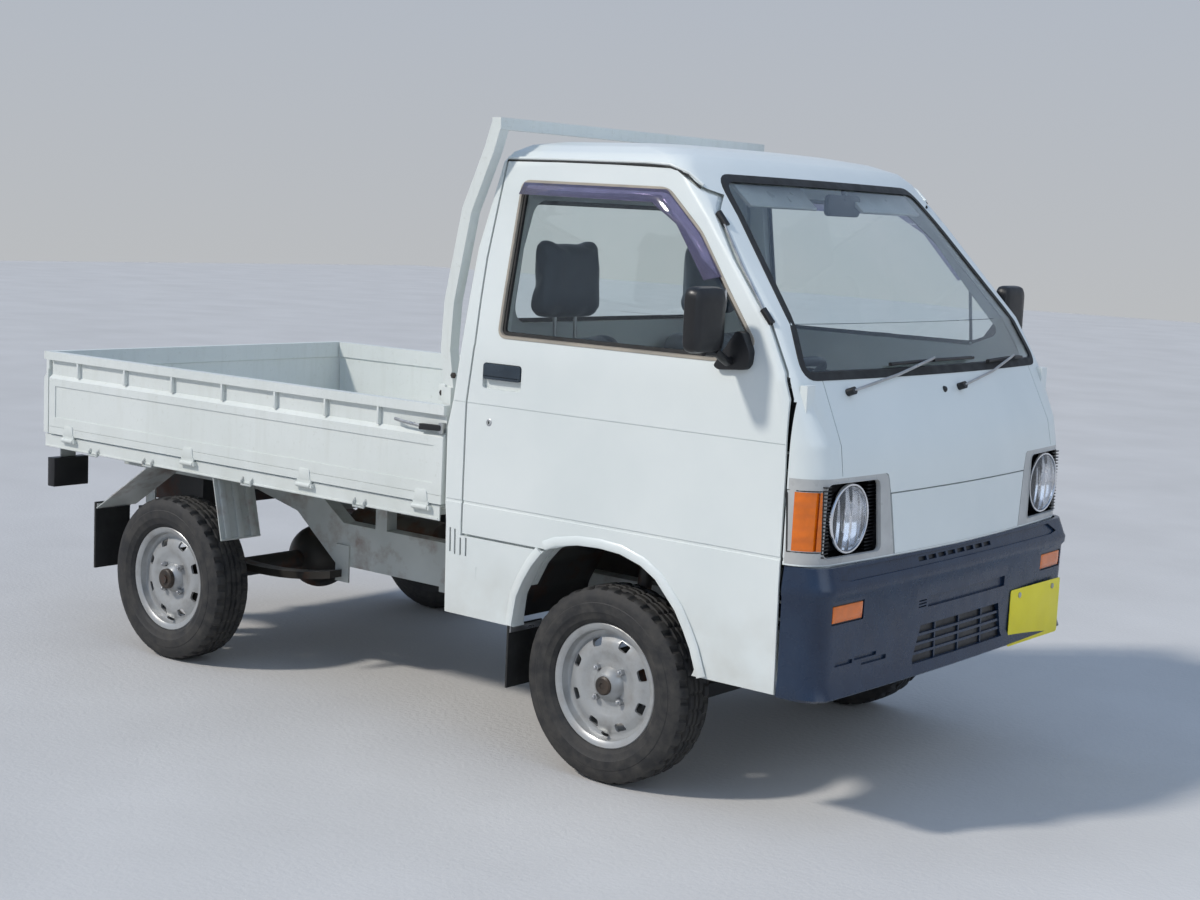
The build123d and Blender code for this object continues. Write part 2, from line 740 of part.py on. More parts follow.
# Engine, driveline, tank, exhaust
with BuildPart() as engine_block:
    block((420, 880), (-225, 225), (400, 690))
write(engine_block, "engine_block")
with BuildPart() as driveline:
    with BuildSketch(Plane.YZ.offset(150)):
        with Locations((0, 400)):
            Circle(85)
    extrude(amount=270)
    prop = Plane(origin=(160, 0, 400), z_dir=(-820 - 160, 0, 285 - 400))
    with BuildSketch(prop):
        Circle(24)
    extrude(amount=975)
write(driveline, "driveline")
with BuildPart() as fuel_tank:
    block((-1460, -1200), (-300, 150), (430, sill_bottom_z))
write(fuel_tank, "fuel_tank")
with BuildPart() as exhaust:
    with BuildSketch(Plane.YZ.offset(-520)):
        with Locations((-190, 440)):
            Circle(70)
    extrude(amount=380)
    with BuildSketch(Plane.YZ.offset(-140)):
        with Locations((-190, 440)):
            Circle(20)
    extrude(amount=560)
write(exhaust, "exhaust")

# Rear axle with leaf springs
spring_y = (rail_outer_y + 7, rail_outer_y + 57)
with BuildPart() as rear_axle:
    with Locations(Plane(origin=(rear_axle_x, 0, hub_z), z_dir=(0, 1, 0))):
        Cylinder(32, 2 * 552)
        Cylinder(95, 110)
    with Locations((rear_axle_x, 0, hub_z)):
        Sphere(110)
    for side in (-1, 1):
        drum = Plane(origin=(rear_axle_x, side * 585, hub_z), z_dir=(0, side, 0))
        with Locations(drum):
            Cylinder(95, 66)
        with Locations(drum.offset(50)):
            Cylinder(spindle_r, 100)
        low_y = min(side * spring_y[0], side * spring_y[1])
        with BuildSketch(Plane.XZ.offset(-low_y - 50)):
            with BuildLine():
                ThreePointArc((-416, 340), (rear_axle_x, 308), (-1400, 420))
                ThreePointArc((-416, 316), (rear_axle_x, 284), (-1400, 396))
                Line((-416, 340), (-416, 316))
                Line((-1400, 420), (-1400, 396))
            make_face()
        extrude(amount=50)
write(rear_axle, "rear_axle")

# Front suspension, with the strut on the axis that the wheel steers about
ball_joint = Vector(front_axle_x, 555, 178)
steer_lean = (75, 454)
strut_length = 428
arm_z = (152, 168)
ball_pin_r = 10


def steer_plane(side, distance):
    """A plane across the steering axis, at a distance above the lower ball joint."""
    origin = Vector(ball_joint.X, side * ball_joint.Y, ball_joint.Z)
    up = Vector(0, -side * steer_lean[0], steer_lean[1]).normalized()
    return Plane(origin=origin + up * distance, x_dir=(1, 0, 0), z_dir=up)


with BuildPart() as front_suspension:
    for side in (-1, 1):
        block((front_axle_x - 35, front_axle_x + 35), sorted((side * 313, side * 340)), (arm_z[0], 352))
        block((front_axle_x - 24, front_axle_x + 24), sorted((side * 338, side * 574)), arm_z)
        with BuildSketch(steer_plane(side, -18)):
            Circle(ball_pin_r)
        extrude(amount=18)
        with BuildSketch(steer_plane(side, strut_length + fit)):
            Circle(38)
        extrude(amount=8)
        block((front_axle_x - 20, front_axle_x + 20), sorted((side * 468, side * 500)), (604, 638.4))
    block((front_axle_x - 30, front_axle_x + 30), (-313, 313), (160, 200))
    with Locations(Plane(origin=(front_axle_x, 0, hub_z), z_dir=(0, 1, 0))):
        Cylinder(75, 190)
        Cylinder(14, 2 * 480)
write(front_suspension, "front_suspension")

knuckle_y = (500, 560)
with BuildPart() as knuckle_right:
    block((front_axle_x - 26, front_axle_x + 26), (-knuckle_y[1], -knuckle_y[0]), (192, 350))
    with BuildSketch(steer_plane(-1, fit)):
        Circle(18)
    extrude(amount=30)
    with BuildSketch(steer_plane(-1, 160)):
        Circle(20)
    extrude(amount=strut_length - 160)
    with Locations(Plane(origin=(front_axle_x, 0, hub_z), z_dir=(0, 1, 0))):
        Cylinder(20, 2 * 515, mode=Mode.SUBTRACT)
    hub = Plane(origin=(front_axle_x, -knuckle_y[1], hub_z), z_dir=(0, -1, 0))
    with BuildSketch(hub):
        Circle(84)
    extrude(amount=54)
    with BuildSketch(hub):
        Circle(spindle_r)
    extrude(amount=85)
write(knuckle_right, "knuckle_right")
with BuildPart() as knuckle_left:
    mirror(knuckle_right.part, about=Plane.XZ)
write(knuckle_left, "knuckle_left")

# Wheel, at the origin with its axis along Y and its outer face towards -Y
RIM_SECTION = [
    (rim_w / 2, rim_flange_r),
    (52, rim_flange_r),
    (48, 153),
    (26, 151.5),
    (16, 136),
    (-14, 136),
    (-24, 151.5),
    (-48, 153),
    (-52, rim_flange_r),
    (-rim_w / 2, rim_flange_r),
    (-rim_w / 2, 164),
    (-51, 148),
    (-26, 146.5),
    (-16, 131),
    (20, 131),
    (30, 112),
    (32, 92),
    (24, 74),
    (24, 40),
    (38, 36),
    (38, spindle_r + pin_clearance),
    (56, spindle_r + pin_clearance),
    (56, 30),
    (44, 44),
    (30, 48),
    (30, 72),
    (38, 92),
    (36, 116),
    (26, 137),
    (30, 147.5),
    (51, 149),
    (rim_w / 2, 164),
]
TYRE_SECTION = [(47.5, 153.4), (51.5, 170), (60, 172), (71, 195), (73.5, 215), (70, 240), (58, 260), (40, 266)]
with BuildPart() as rim_model:
    with BuildSketch(Plane.XY):
        with BuildLine():
            Polyline(*[(r, -w) for w, r in RIM_SECTION], close=True)
        make_face()
    revolve(axis=Axis.Y)
tyre_points = TYRE_SECTION + [(-w, r) for w, r in TYRE_SECTION[::-1]]
with BuildPart() as tyre_model:
    with BuildSketch(Plane.XY):
        with BuildLine():
            Polyline(*[(r, -w) for w, r in tyre_points], close=True)
        make_face()
    revolve(axis=Axis.Y)
WHEELS = [
    ("front_right", front_axle_x, -front_wheel_y, 0),
    ("front_left", front_axle_x, front_wheel_y, 180),
    ("rear_right", rear_axle_x, -rear_wheel_y, 0),
    ("rear_left", rear_axle_x, rear_wheel_y, 180),
]
for place, wheel_x, wheel_y, turn in WHEELS:
    for kind, model in (("rim", rim_model), ("tyre", tyre_model)):
        with BuildPart() as wheel:
            with Locations(Location((wheel_x, wheel_y, hub_z), (0, 0, turn))):
                add(model.part)
        write(wheel, f"{kind}_{place}")

# Door mirrors
MIRROR_BASE = [(1222, 1150), (1333, 1157), (1289, 1242)]
with BuildPart() as mirror_right:
    add(side_prism(MIRROR_BASE, -698, -640))
    add(cab_outer, mode=Mode.SUBTRACT)
    block((1250, 1290), (-870, -735), (1185, 1350))
    block((1275, 1295), (-760, -690), (1185, 1212))
write(mirror_right, "mirror_right")
with BuildPart() as mirror_left:
    mirror(mirror_right.part, about=Plane.XZ)
write(mirror_left, "mirror_left")
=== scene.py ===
"""Kei truck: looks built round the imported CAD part.

+X is the truck's front, +Y its left side, +Z up. Shapes are written in millimetres
and become metres when a piece is made.
"""
import json
import math

import bmesh
import bpy
from mathutils import Matrix, Vector


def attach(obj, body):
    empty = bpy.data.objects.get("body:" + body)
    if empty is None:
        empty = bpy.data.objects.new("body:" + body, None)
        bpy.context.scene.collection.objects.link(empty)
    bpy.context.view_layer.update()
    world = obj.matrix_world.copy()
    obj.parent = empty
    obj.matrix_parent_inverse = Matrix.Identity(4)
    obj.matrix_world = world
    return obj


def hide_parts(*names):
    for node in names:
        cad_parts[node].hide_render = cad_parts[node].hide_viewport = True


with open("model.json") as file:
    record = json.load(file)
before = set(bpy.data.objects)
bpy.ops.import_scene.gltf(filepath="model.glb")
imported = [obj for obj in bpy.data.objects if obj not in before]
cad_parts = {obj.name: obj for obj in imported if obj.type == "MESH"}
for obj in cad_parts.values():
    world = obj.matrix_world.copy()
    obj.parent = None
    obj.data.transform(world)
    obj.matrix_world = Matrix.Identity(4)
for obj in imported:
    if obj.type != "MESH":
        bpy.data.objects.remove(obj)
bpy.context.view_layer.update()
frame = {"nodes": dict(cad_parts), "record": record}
NODES = frame["nodes"]
MM = 0.001


# Materials, kept by name as each one is built
MATERIALS = {}


class Tree:
    """A small builder for one node tree."""

    def __init__(self, tree, shader, coord):
        self.t = tree
        self.p = tree.nodes[shader]
        self.coord = self.add("TexCoord").outputs[coord]

    def feed(self, socket, value):
        """Links an output to a socket, or sets a constant on it."""
        if isinstance(value, bpy.types.NodeSocket):
            self.t.links.new(value, socket)
        else:
            socket.default_value = value

    def add(self, kind, **values):
        """A new node with inputs fed by name."""
        node = self.t.nodes.new("ShaderNode" + kind)
        for name, value in values.items():
            self.feed(node.inputs[name.replace("_", " ")], value)
        return node

    def set(self, **values):
        for name, value in values.items():
            self.feed(self.p.inputs[name.replace("_", " ")], value)

    def spread(self, value, **ends):
        """The value mapped between the ends that are given, or 0 and 1."""
        return self.add("MapRange", Value=value, **ends).outputs["Result"]

    def noise(self, scale, detail=4, rough=0.55, stretch=(1, 1, 1), lo=0.3, hi=0.7):
        """Noise from 0 to 1; stretch below 1 draws it out along that axis."""
        place = self.add("Mapping", Vector=self.coord, Scale=stretch).outputs["Vector"]
        node = self.add("TexNoise", Vector=place, Scale=scale, Detail=detail, Roughness=rough)
        return self.spread(node.outputs["Fac"], From_Min=lo, From_Max=hi)

    def wave(self, scale, axis):
        """Even ribs across one axis, from 0 to 1."""
        node = self.add("TexWave", Vector=self.coord, Scale=scale)
        node.bands_direction = axis
        return node.outputs["Fac"]

    def ramp(self, axis, low, high):
        """1 at low and 0 at high along an axis."""
        height = self.add("SeparateXYZ", Vector=self.coord).outputs[axis]
        return self.spread(height, From_Min=low, From_Max=high, To_Min=1, To_Max=0)

    def calc(self, operation, a, b):
        node = self.add("Math")
        node.operation = operation
        node.use_clamp = True
        self.feed(node.inputs[0], a)
        self.feed(node.inputs[1], b)
        return node.outputs[0]

    def mix(self, fac, a, b):
        node = self.add("Mix")
        node.data_type = "RGBA"
        colors = [i for i in node.inputs if i.type == "RGBA"]
        factor = next(i for i in node.inputs if i.name == "Factor" and i.type == "VALUE")
        for socket, value in ((factor, fac), (colors[0], a), (colors[1], b)):
            self.feed(socket, (*value, 1) if isinstance(value, tuple) else value)
        return next(o for o in node.outputs if o.type == "RGBA")

    def color(self, out):
        self.set(Base_Color=out)

    def roughness(self, fac, low, high):
        self.set(Roughness=self.spread(fac, To_Min=low, To_Max=high))

    def bump(self, fac, strength, distance):
        self.set(Normal=self.add("Bump", Height=fac, Strength=strength, Distance=distance).outputs["Normal"])


class Mat(Tree):
    """A procedural material in object space."""

    def __init__(self, name):
        self.m = bpy.data.materials.new(name)
        self.m.use_nodes = True
        super().__init__(self.m.node_tree, "Principled BSDF", "Object")
        MATERIALS[name] = self.m


def paint(name, light, dark, dirt, dirt_z, dirt_share=0.6, rough=(0.28, 0.42), streaks=0, coat=0.3):
    """Paint with patches, dust that thickens downwards and, where asked, rain streaks."""
    m = Mat(name)
    base = m.mix(m.noise(2.2, lo=0.35, hi=0.75), light, dark)
    dust = m.calc("MULTIPLY", m.ramp("Z", *dirt_z), m.noise(9, detail=8, lo=0.35, hi=0.8))
    soil = m.calc("MULTIPLY", dust, dirt_share)
    if streaks:
        run = m.noise(30, detail=8, rough=0.6, stretch=(1, 1, 0.1), lo=0.52, hi=0.85)
        spots = m.noise(60, detail=9, rough=0.75, lo=0.56, hi=0.74)
        wear = m.calc("MAXIMUM", m.calc("MULTIPLY", run, 0.6), spots)
        soil = m.calc("MAXIMUM", soil, m.calc("MULTIPLY", wear, streaks))
    m.color(m.mix(soil, base, dirt))
    m.roughness(m.noise(6, detail=6), *rough)
    m.bump(m.noise(180, detail=2), 0.04, 0.0004)
    m.set(Coat_Weight=coat, Coat_Roughness=0.12)
    return m.m


def plastic(name, light, dark, scale=14, rough=(0.35, 0.55), grain=0.12, metal=0):
    """Moulded plastic, rubber or cast metal with patches and a fine grain."""
    m = Mat(name)
    m.color(m.mix(m.noise(scale, detail=6), dark, light))
    m.roughness(m.noise(scale * 1.7, detail=5), *rough)
    m.bump(m.noise(420, detail=3), grain, 0.0006)
    m.set(Metallic=metal)
    return m.m


def lens(name, rgb, ribs=0, axis="Y", transmission=0.35, rough=0.08):
    """Coloured lamp plastic with moulded flutes."""
    m = Mat(name)
    m.color(m.mix(m.noise(30, lo=0.3, hi=0.8), rgb, tuple(c * 0.72 for c in rgb)))
    if ribs:
        m.bump(m.wave(ribs, axis), 0.5, 0.002)
    m.set(Roughness=rough, Transmission_Weight=transmission, IOR=1.49, Coat_Weight=0.6, Coat_Roughness=0.04)
    return m.m


def rusty(name, base, amount, metal=0.3):
    """Old painted or bare steel with rust patches and an uneven tone."""
    m = Mat(name)
    patch = m.noise(8, detail=9, rough=0.65, lo=0.5, hi=0.68)
    shade = m.mix(m.noise(3), base, tuple(c * 0.7 for c in base))
    m.color(m.mix(m.calc("MULTIPLY", patch, amount), shade, RUST))
    m.roughness(patch, 0.45, 0.75)
    m.bump(m.noise(90, detail=6), 0.2, 0.0008)
    m.set(Metallic=metal)
    return m.m


def tyre_rubber():
    m = Mat("tyre")
    dust = m.noise(24, detail=8, rough=0.65, lo=0.4, hi=0.75)
    m.color(m.mix(m.calc("MULTIPLY", dust, 0.75), (0.013, 0.013, 0.014), (0.075, 0.07, 0.062)))
    m.roughness(dust, 0.62, 0.9)
    m.bump(m.noise(240, detail=4), 0.15, 0.0008)
    return m.m


def wheel_steel():
    m = Mat("wheel_steel")
    soil = m.noise(17, detail=9, rough=0.65, lo=0.45, hi=0.72)
    m.color(m.mix(m.calc("MULTIPLY", soil, 0.4), (0.4, 0.41, 0.41), (0.17, 0.14, 0.11)))
    m.roughness(soil, 0.32, 0.55)
    m.set(Metallic=0.4)
    return m.m


def glass():
    m = Mat("window_glass")
    m.color(m.mix(m.noise(3), (0.93, 0.97, 0.96), (0.88, 0.94, 0.93)))
    m.roughness(m.noise(12, detail=8, stretch=(1, 1, 0.2), lo=0.4, hi=0.9), 0, 0.035)
    m.set(Transmission_Weight=1, IOR=1.42)
    return m.m


def vinyl():
    m = Mat("seat_vinyl")
    m.color(m.mix(m.noise(7, detail=6), (0.06, 0.085, 0.115), (0.042, 0.06, 0.085)))
    m.roughness(m.noise(20), 0.42, 0.6)
    m.bump(m.noise(300, detail=3), 0.25, 0.0008)
    m.set(Sheen_Weight=0.15)
    return m.m


DUST = (0.42, 0.39, 0.33)
BED_DIRT = (0.33, 0.33, 0.24)
RUST = (0.16, 0.055, 0.022)
paint("body_paint", (0.71, 0.745, 0.725), (0.64, 0.685, 0.67), DUST, (0.3, 0.62))
paint(
    "bed_paint", (0.7, 0.73, 0.705), (0.63, 0.665, 0.635), BED_DIRT, (0.55, 0.8), 0.4, (0.4, 0.6), 0.32, 0.1
)
rusty("frame_paint", (0.5, 0.53, 0.51), 0.55, metal=0)
plastic("bumper_plastic", (0.014, 0.03, 0.062), (0.009, 0.02, 0.046), rough=(0.2, 0.34))
plastic("bezel_plastic", (0.5, 0.5, 0.48), (0.4, 0.4, 0.385), rough=(0.25, 0.4))
lens("amber_lens", (0.9, 0.19, 0.003), 11, "Z", 0.12)
lens("red_lens", (0.5, 0.012, 0.01), 14, "Z", 0.2)
lens("lamp_glass", (0.95, 0.97, 1), 9, "Y", 0.97, 0.02)
glass()
plastic("dash_plastic", (0.055, 0.06, 0.065), (0.035, 0.04, 0.045))
plastic("black_plastic", (0.011, 0.011, 0.012), (0.006, 0.006, 0.007), rough=(0.32, 0.5))
plastic("black_rubber", (0.02, 0.02, 0.019), (0.009, 0.009, 0.009), rough=(0.55, 0.8))
tyre_rubber()
wheel_steel()
vinyl()
rusty("chassis_black", (0.02, 0.02, 0.02), 0.4)
rusty("cast_parts", (0.045, 0.041, 0.036), 0.7)
rusty("exhaust_steel", (0.14, 0.12, 0.1), 0.9, metal=0.6)
CHROME = plastic("chrome", (0.85, 0.86, 0.88), (0.75, 0.76, 0.78), rough=(0.05, 0.14), grain=0.02, metal=1)
SATIN = plastic("satin_metal", (0.52, 0.53, 0.54), (0.38, 0.38, 0.38), rough=(0.25, 0.45), metal=0.9)
BEIGE = plastic("beige_trim", (0.42, 0.37, 0.3), (0.33, 0.3, 0.25), rough=(0.3, 0.5), metal=0.3)
YELLOW = plastic("plate_yellow", (0.86, 0.74, 0.03), (0.8, 0.68, 0.02), rough=(0.3, 0.45), grain=0.03)
VISOR = lens("visor_tint", (0.36, 0.31, 0.5), transmission=0.85, rough=0.08)
LEVER = plastic("handle_paint", (0.03, 0.045, 0.062), (0.02, 0.032, 0.045), rough=(0.18, 0.32))
HUB_BROWN = plastic("hub_brown", (0.06, 0.04, 0.026), (0.02, 0.016, 0.013), scale=40, rough=(0.4, 0.7))
REAR_AMBER = lens("rear_amber", (0.85, 0.22, 0.01), 14, "Z", 0.2)
REAR_WHITE = lens("rear_white", (0.8, 0.8, 0.78), 14, "Z", 0.2)

for part in frame["record"]["subparts"]:
    node = NODES[part["node"]]
    node.data.materials.clear()
    node.data.materials.append(MATERIALS[part["material_slot"]])


# Shapes: each is a list of corner points and a list of faces
def merged(*shapes):
    points, faces = [], []
    for shape_points, shape_faces in shapes:
        shift = len(points)
        points += list(shape_points)
        faces += [tuple(i + shift for i in face) for face in shape_faces]
    return points, faces


def mirrored(shape):
    points, faces = shape
    return [(x, -y, z) for x, y, z in points], [tuple(reversed(face)) for face in faces]


def both(shape):
    """The shape and its mirror image on the other side of the truck."""
    return merged(shape, mirrored(shape))


def moved(shape, by, turned=False):
    """The shape moved, after a half turn about Z where that is asked for."""
    sign = -1 if turned else 1
    points, faces = shape
    return [(sign * x + by[0], sign * y + by[1], z + by[2]) for x, y, z in points], faces


def around(steps):
    """Cosine and sine of equal steps round a circle."""
    return [(math.cos(math.tau * k / steps), math.sin(math.tau * k / steps)) for k in range(steps)]


def loft(rings, closed=False):
    """A skin over rings of equally many points, capped at both ends unless it closes on itself."""
    count = len(rings[0])
    points = [point for ring in rings for point in ring]
    faces = []
    for i in range(len(rings) if closed else len(rings) - 1):
        near, far = i * count, (i + 1) % len(rings) * count
        for j in range(count):
            k = (j + 1) % count
            faces.append((near + j, near + k, far + k, far + j))
    if not closed:
        faces.append(tuple(reversed(range(count))))
        faces.append(tuple(range(len(points) - count, len(points))))
    return points, faces


def prism(outline, axis, low, high):
    """An outline drawn out along X (y, z points), Y (x, z points) or Z (x, y points)."""
    place = {
        "X": lambda a, b, c: (c, a, b),
        "Y": lambda a, b, c: (a, c, b),
        "Z": lambda a, b, c: (a, b, c),
    }[axis]
    return loft([[place(a, b, level) for a, b in outline] for level in (low, high)])


def box(x, y, z):
    return prism([(x[0], y[0]), (x[1], y[0]), (x[1], y[1]), (x[0], y[1])], "Z", *z)


def rounded(outline, radius, steps=5):
    """The outline with its corners rounded."""
    result = []
    for before, corner, after in zip(outline[-1:] + outline[:-1], outline, outline[1:] + outline[:1]):
        corner, before, after = Vector(corner), Vector(before), Vector(after)
        one, two = (before - corner), (after - corner)
        reach = min(radius, one.length * 0.49, two.length * 0.49)
        start, end = corner + one.normalized() * reach, corner + two.normalized() * reach
        for k in range(steps + 1):
            t = k / steps
            result.append(tuple((1 - t) ** 2 * start + 2 * t * (1 - t) * corner + t**2 * end))
    return result


def tube(path, radius, sides=12, flat=1):
    """A round bar along a path; flat below 1 squeezes it across its first side."""
    points = [Vector(p) for p in path]
    rings = []
    for i, point in enumerate(points):
        ahead = points[min(i + 1, len(points) - 1)] - points[max(i - 1, 0)]
        ahead.normalize()
        guide = Vector((0, 0, 1)) if abs(ahead.z) < 0.9 else Vector((1, 0, 0))
        across = ahead.cross(guide).normalized()
        up = across.cross(ahead)
        rings.append([tuple(point + radius * (flat * c * across + s * up)) for c, s in around(sides)])
    return loft(rings)


def lathe(profile, axis="Y", steps=48, centre=(0, 0, 0)):
    """A closed profile of (along, radius) points turned about an axis through the centre."""
    rings = []
    for c, s in around(steps):
        if axis == "Y":
            rings.append([(centre[0] + r * c, centre[1] - w, centre[2] + r * s) for w, r in profile])
        else:
            rings.append([(centre[0] + w, centre[1] + r * c, centre[2] + r * s) for w, r in profile])
    return loft(rings, closed=True)


# Pieces
def realise(obj):
    """Applies the object's modifiers to its mesh."""
    graph = bpy.context.evaluated_depsgraph_get()
    mesh = bpy.data.meshes.new_from_object(obj.evaluated_get(graph))
    obj.modifiers.clear()
    obj.data = mesh


def new_object(name, data):
    obj = bpy.data.objects.new(name, data)
    bpy.context.collection.objects.link(obj)
    return obj


def modify(obj, kind, **values):
    modifier = obj.modifiers.new(kind, kind)
    for name, value in values.items():
        setattr(modifier, name, value)
    return modifier


def clean_mesh(mesh):
    """Joins doubled points and turns every face outwards."""
    work = bmesh.new()
    work.from_mesh(mesh)
    bmesh.ops.remove_doubles(work, verts=work.verts, dist=2e-5)
    bmesh.ops.recalc_face_normals(work, faces=work.faces)
    work.to_mesh(mesh)
    work.free()
    if "custom_normal" in mesh.attributes:
        mesh.attributes.remove(mesh.attributes["custom_normal"])


def mesh_of(shape, name):
    mesh = bpy.data.meshes.new(name)
    mesh.from_pydata([tuple(c * MM for c in point) for point in shape[0]], [], shape[1])
    clean_mesh(mesh)
    return mesh


def smooth(mesh, angle):
    mesh.shade_smooth()
    mesh.set_sharp_from_angle(angle=math.radians(angle))


def carve(obj, cuts):
    """Cuts shapes out of an object."""
    cutters = [new_object("cutter", mesh_of(shape, "cutter")) for shape in cuts]
    for cutter in cutters:
        modify(obj, "BOOLEAN", object=cutter, solver="EXACT", operation="DIFFERENCE")
    realise(obj)
    for cutter in cutters:
        bpy.data.objects.remove(cutter)


def bevel(obj, width):
    modify(obj, "BEVEL", width=width * MM, segments=2, limit_method="ANGLE", angle_limit=math.radians(40))
    realise(obj)


def finish_piece(obj, material, body, angle=35, replaced=()):
    """Gives a piece its material, its smooth shading and the body that it rides on."""
    obj.data.materials.clear()
    if isinstance(material, str):
        obj.data.materials.append(MATERIALS[material])
    else:
        obj.data.materials.append(material)
    smooth(obj.data, angle)
    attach(obj, body)
    for name in replaced:
        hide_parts(name)


def piece(name, shape, material, body="chassis", edge=0, cuts=(), angle=35, replaced=()):
    obj = new_object(name, mesh_of(shape, name))
    if cuts:
        carve(obj, cuts)
    if edge:
        bevel(obj, edge)
    finish_piece(obj, material, body, angle, replaced)


def pair(name, shape, material, body, edge=0, cuts=(), angle=35, replaced=""):
    """A piece on a right-hand body, and its mirror image on the left-hand one."""
    for side, turn in (("right", lambda s: s), ("left", mirrored)):
        nodes = (f"{replaced}_{side}",) if replaced else ()
        turned_cuts = [turn(cut) for cut in cuts]
        piece(f"{name}_{side}", turn(shape), material, f"{body}_{side}", edge, turned_cuts, angle, nodes)


def carved_node(node, material, cuts, body="chassis"):
    """A CAD node's own form with pressed lines and openings cut into it."""
    mesh = NODES[node].data.copy()
    clean_mesh(mesh)
    obj = new_object(f"{node}_form", mesh)
    carve(obj, cuts)
    finish_piece(obj, material, body, 30, (node,))


# The cab's outer form: height, rear x, half width, corner x, front x, corner radius
CAB_ROWS = [
    (357, 326, 683, 1500, 1545, 46),
    (640, 326, 690, 1505, 1552, 46),
    (686, 321, 690, 1538, 1580, 92),
    (900, 318, 689, 1532, 1574, 92),
    (976, 336, 688, 1519, 1558, 88),
    (1128, 356, 684, 1446, 1492, 50),
    (1260, 360, 663, 1373, 1421, 42),
    (1400, 363, 636, 1250, 1300, 40),
    (1520, 384, 613, 1145, 1195, 40),
    (1640, 405, 590, 1030, 1082, 40),
    (1668, 418, 566, 1000, 1050, 60),
    (1690, 440, 515, 935, 982, 90),
]
# The bumper's form: height, distance that its face stands back
BUMPER_ROWS = [(354, 9), (361, 0), (400, 13), (602, 9), (614, 1), (630, 0), (640, 5), (683, 20)]
SIDE_Y = 690
BUMPER_FRONT = 1597.5
BUMPER_BOW = 18
BUMPER_R = 64
BUMPER_REAR = 1460


def row_at(rows, value):
    """The table's row at a value of its first column."""
    for low, high in zip(rows, rows[1:]):
        if value <= high[0]:
            break
    share = min(max((value - low[0]) / (high[0] - low[0]), 0), 1)
    return [a + share * (b - a) for a, b in zip(low, high)]


def plan_corner(half_y, corner_x, front_x, radius):
    """Radius and middle x of the bowed front, middle of the corner's arc, y where the two meet."""
    bow = front_x - corner_x
    big = (half_y**2 + bow**2) / (2 * bow)
    arc_y = half_y - radius
    middle_x = front_x - big
    arc_x = middle_x + math.sqrt((big - radius) ** 2 - arc_y**2)
    return big, middle_x, arc_x, arc_y, arc_y * big / (big - radius)


def plan_x(y, half_y, corner_x, front_x, radius):
    big, middle_x, arc_x, arc_y, touch_y = plan_corner(half_y, corner_x, front_x, radius)
    y = abs(y)
    if y <= touch_y:
        return middle_x + math.sqrt(big**2 - y**2)
    return arc_x + math.sqrt(radius**2 - min(y - arc_y, radius) ** 2)


def nose_x(y, z):
    return plan_x(y, *row_at(CAB_ROWS, z)[2:])


def bumper_plan(z, inset=0):
    back = row_at(BUMPER_ROWS, z)[1]
    corner = BUMPER_FRONT - BUMPER_BOW - back - inset
    return SIDE_Y + 1 - 0.4 * back - inset, corner, corner + BUMPER_BOW, BUMPER_R - inset


def bumper_x(y, z):
    return plan_x(y, *bumper_plan(z))


def side_y(x, z):
    """The side face of the cab at a place, also round the front corner."""
    half_y, corner_x, front_x, radius = row_at(CAB_ROWS, z)[2:]
    _, _, arc_x, arc_y, _ = plan_corner(half_y, corner_x, front_x, radius)
    if x <= arc_x:
        return half_y
    return arc_y + math.sqrt(max(radius**2 - (x - arc_x) ** 2, 0))


def on_nose(y, z, out):
    return nose_x(y, z) + out, y, z


def on_rear(y, z, out):
    return row_at(CAB_ROWS, z)[1] - out, y, z


def on_side(x, z, out):
    return x, -side_y(x, z) - out, z


def slab(low, high, depth, proud, face=nose_x, pitch=14):
    """A plate on a curved front face, between a lower and an upper line of y, z points."""
    marks = sorted({y for y, _ in low} | {y for y, _ in high})
    stations = []
    for near, far in zip(marks, marks[1:]):
        steps = max(1, round((far - near) / pitch))
        stations += [near + (far - near) * k / steps for k in range(steps)]
    stations.append(marks[-1])
    rings = []
    for y in stations:
        z_low, z_high = row_at(low, y)[1], row_at(high, y)[1]
        z_high = max(z_high, z_low + 0.3)
        x_low, x_high = face(y, z_low), face(y, z_high)
        back = [(x_low - depth, y, z_low), (x_high - depth, y, z_high)]
        rings.append(back + [(x_high + proud, y, z_high), (x_low + proud, y, z_low)])
    return loft(rings)


def level_slab(y, z, depth, proud, face=nose_x):
    """A plate on a front face between two values of y and two heights."""
    return slab([(y[0], z[0]), (y[1], z[0])], [(y[0], z[1]), (y[1], z[1])], depth, proud, face)


def outline_band(outline, outer, inner, lift):
    """A closed band along an outline, from outer beyond it to inner within it.

    lift(a, b, out) places a point of the outline that stands out from the face.
    """
    rings = []
    area = sum(a[0] * b[1] - b[0] * a[1] for a, b in zip(outline, outline[1:] + outline[:1]))
    sign = 1 if area > 0 else -1
    for before, here, after in zip(outline[-1:] + outline[:-1], outline, outline[1:] + outline[:1]):
        run = (Vector(after) - Vector(before)).normalized() * sign
        away = Vector((run.y, -run.x))
        ring = []
        for reach, out in ((outer, -2), (outer - 1.5, 2), (1.5 - inner, 2), (-inner, -6)):
            spot = Vector(here) + away * reach
            ring.append(lift(spot.x, spot.y, out))
        rings.append(ring)
    return loft(rings, closed=True)


def trapezoid(low, high):
    return [(-low[0], low[1]), (low[0], low[1]), (high[0], high[1]), (-high[0], high[1])]


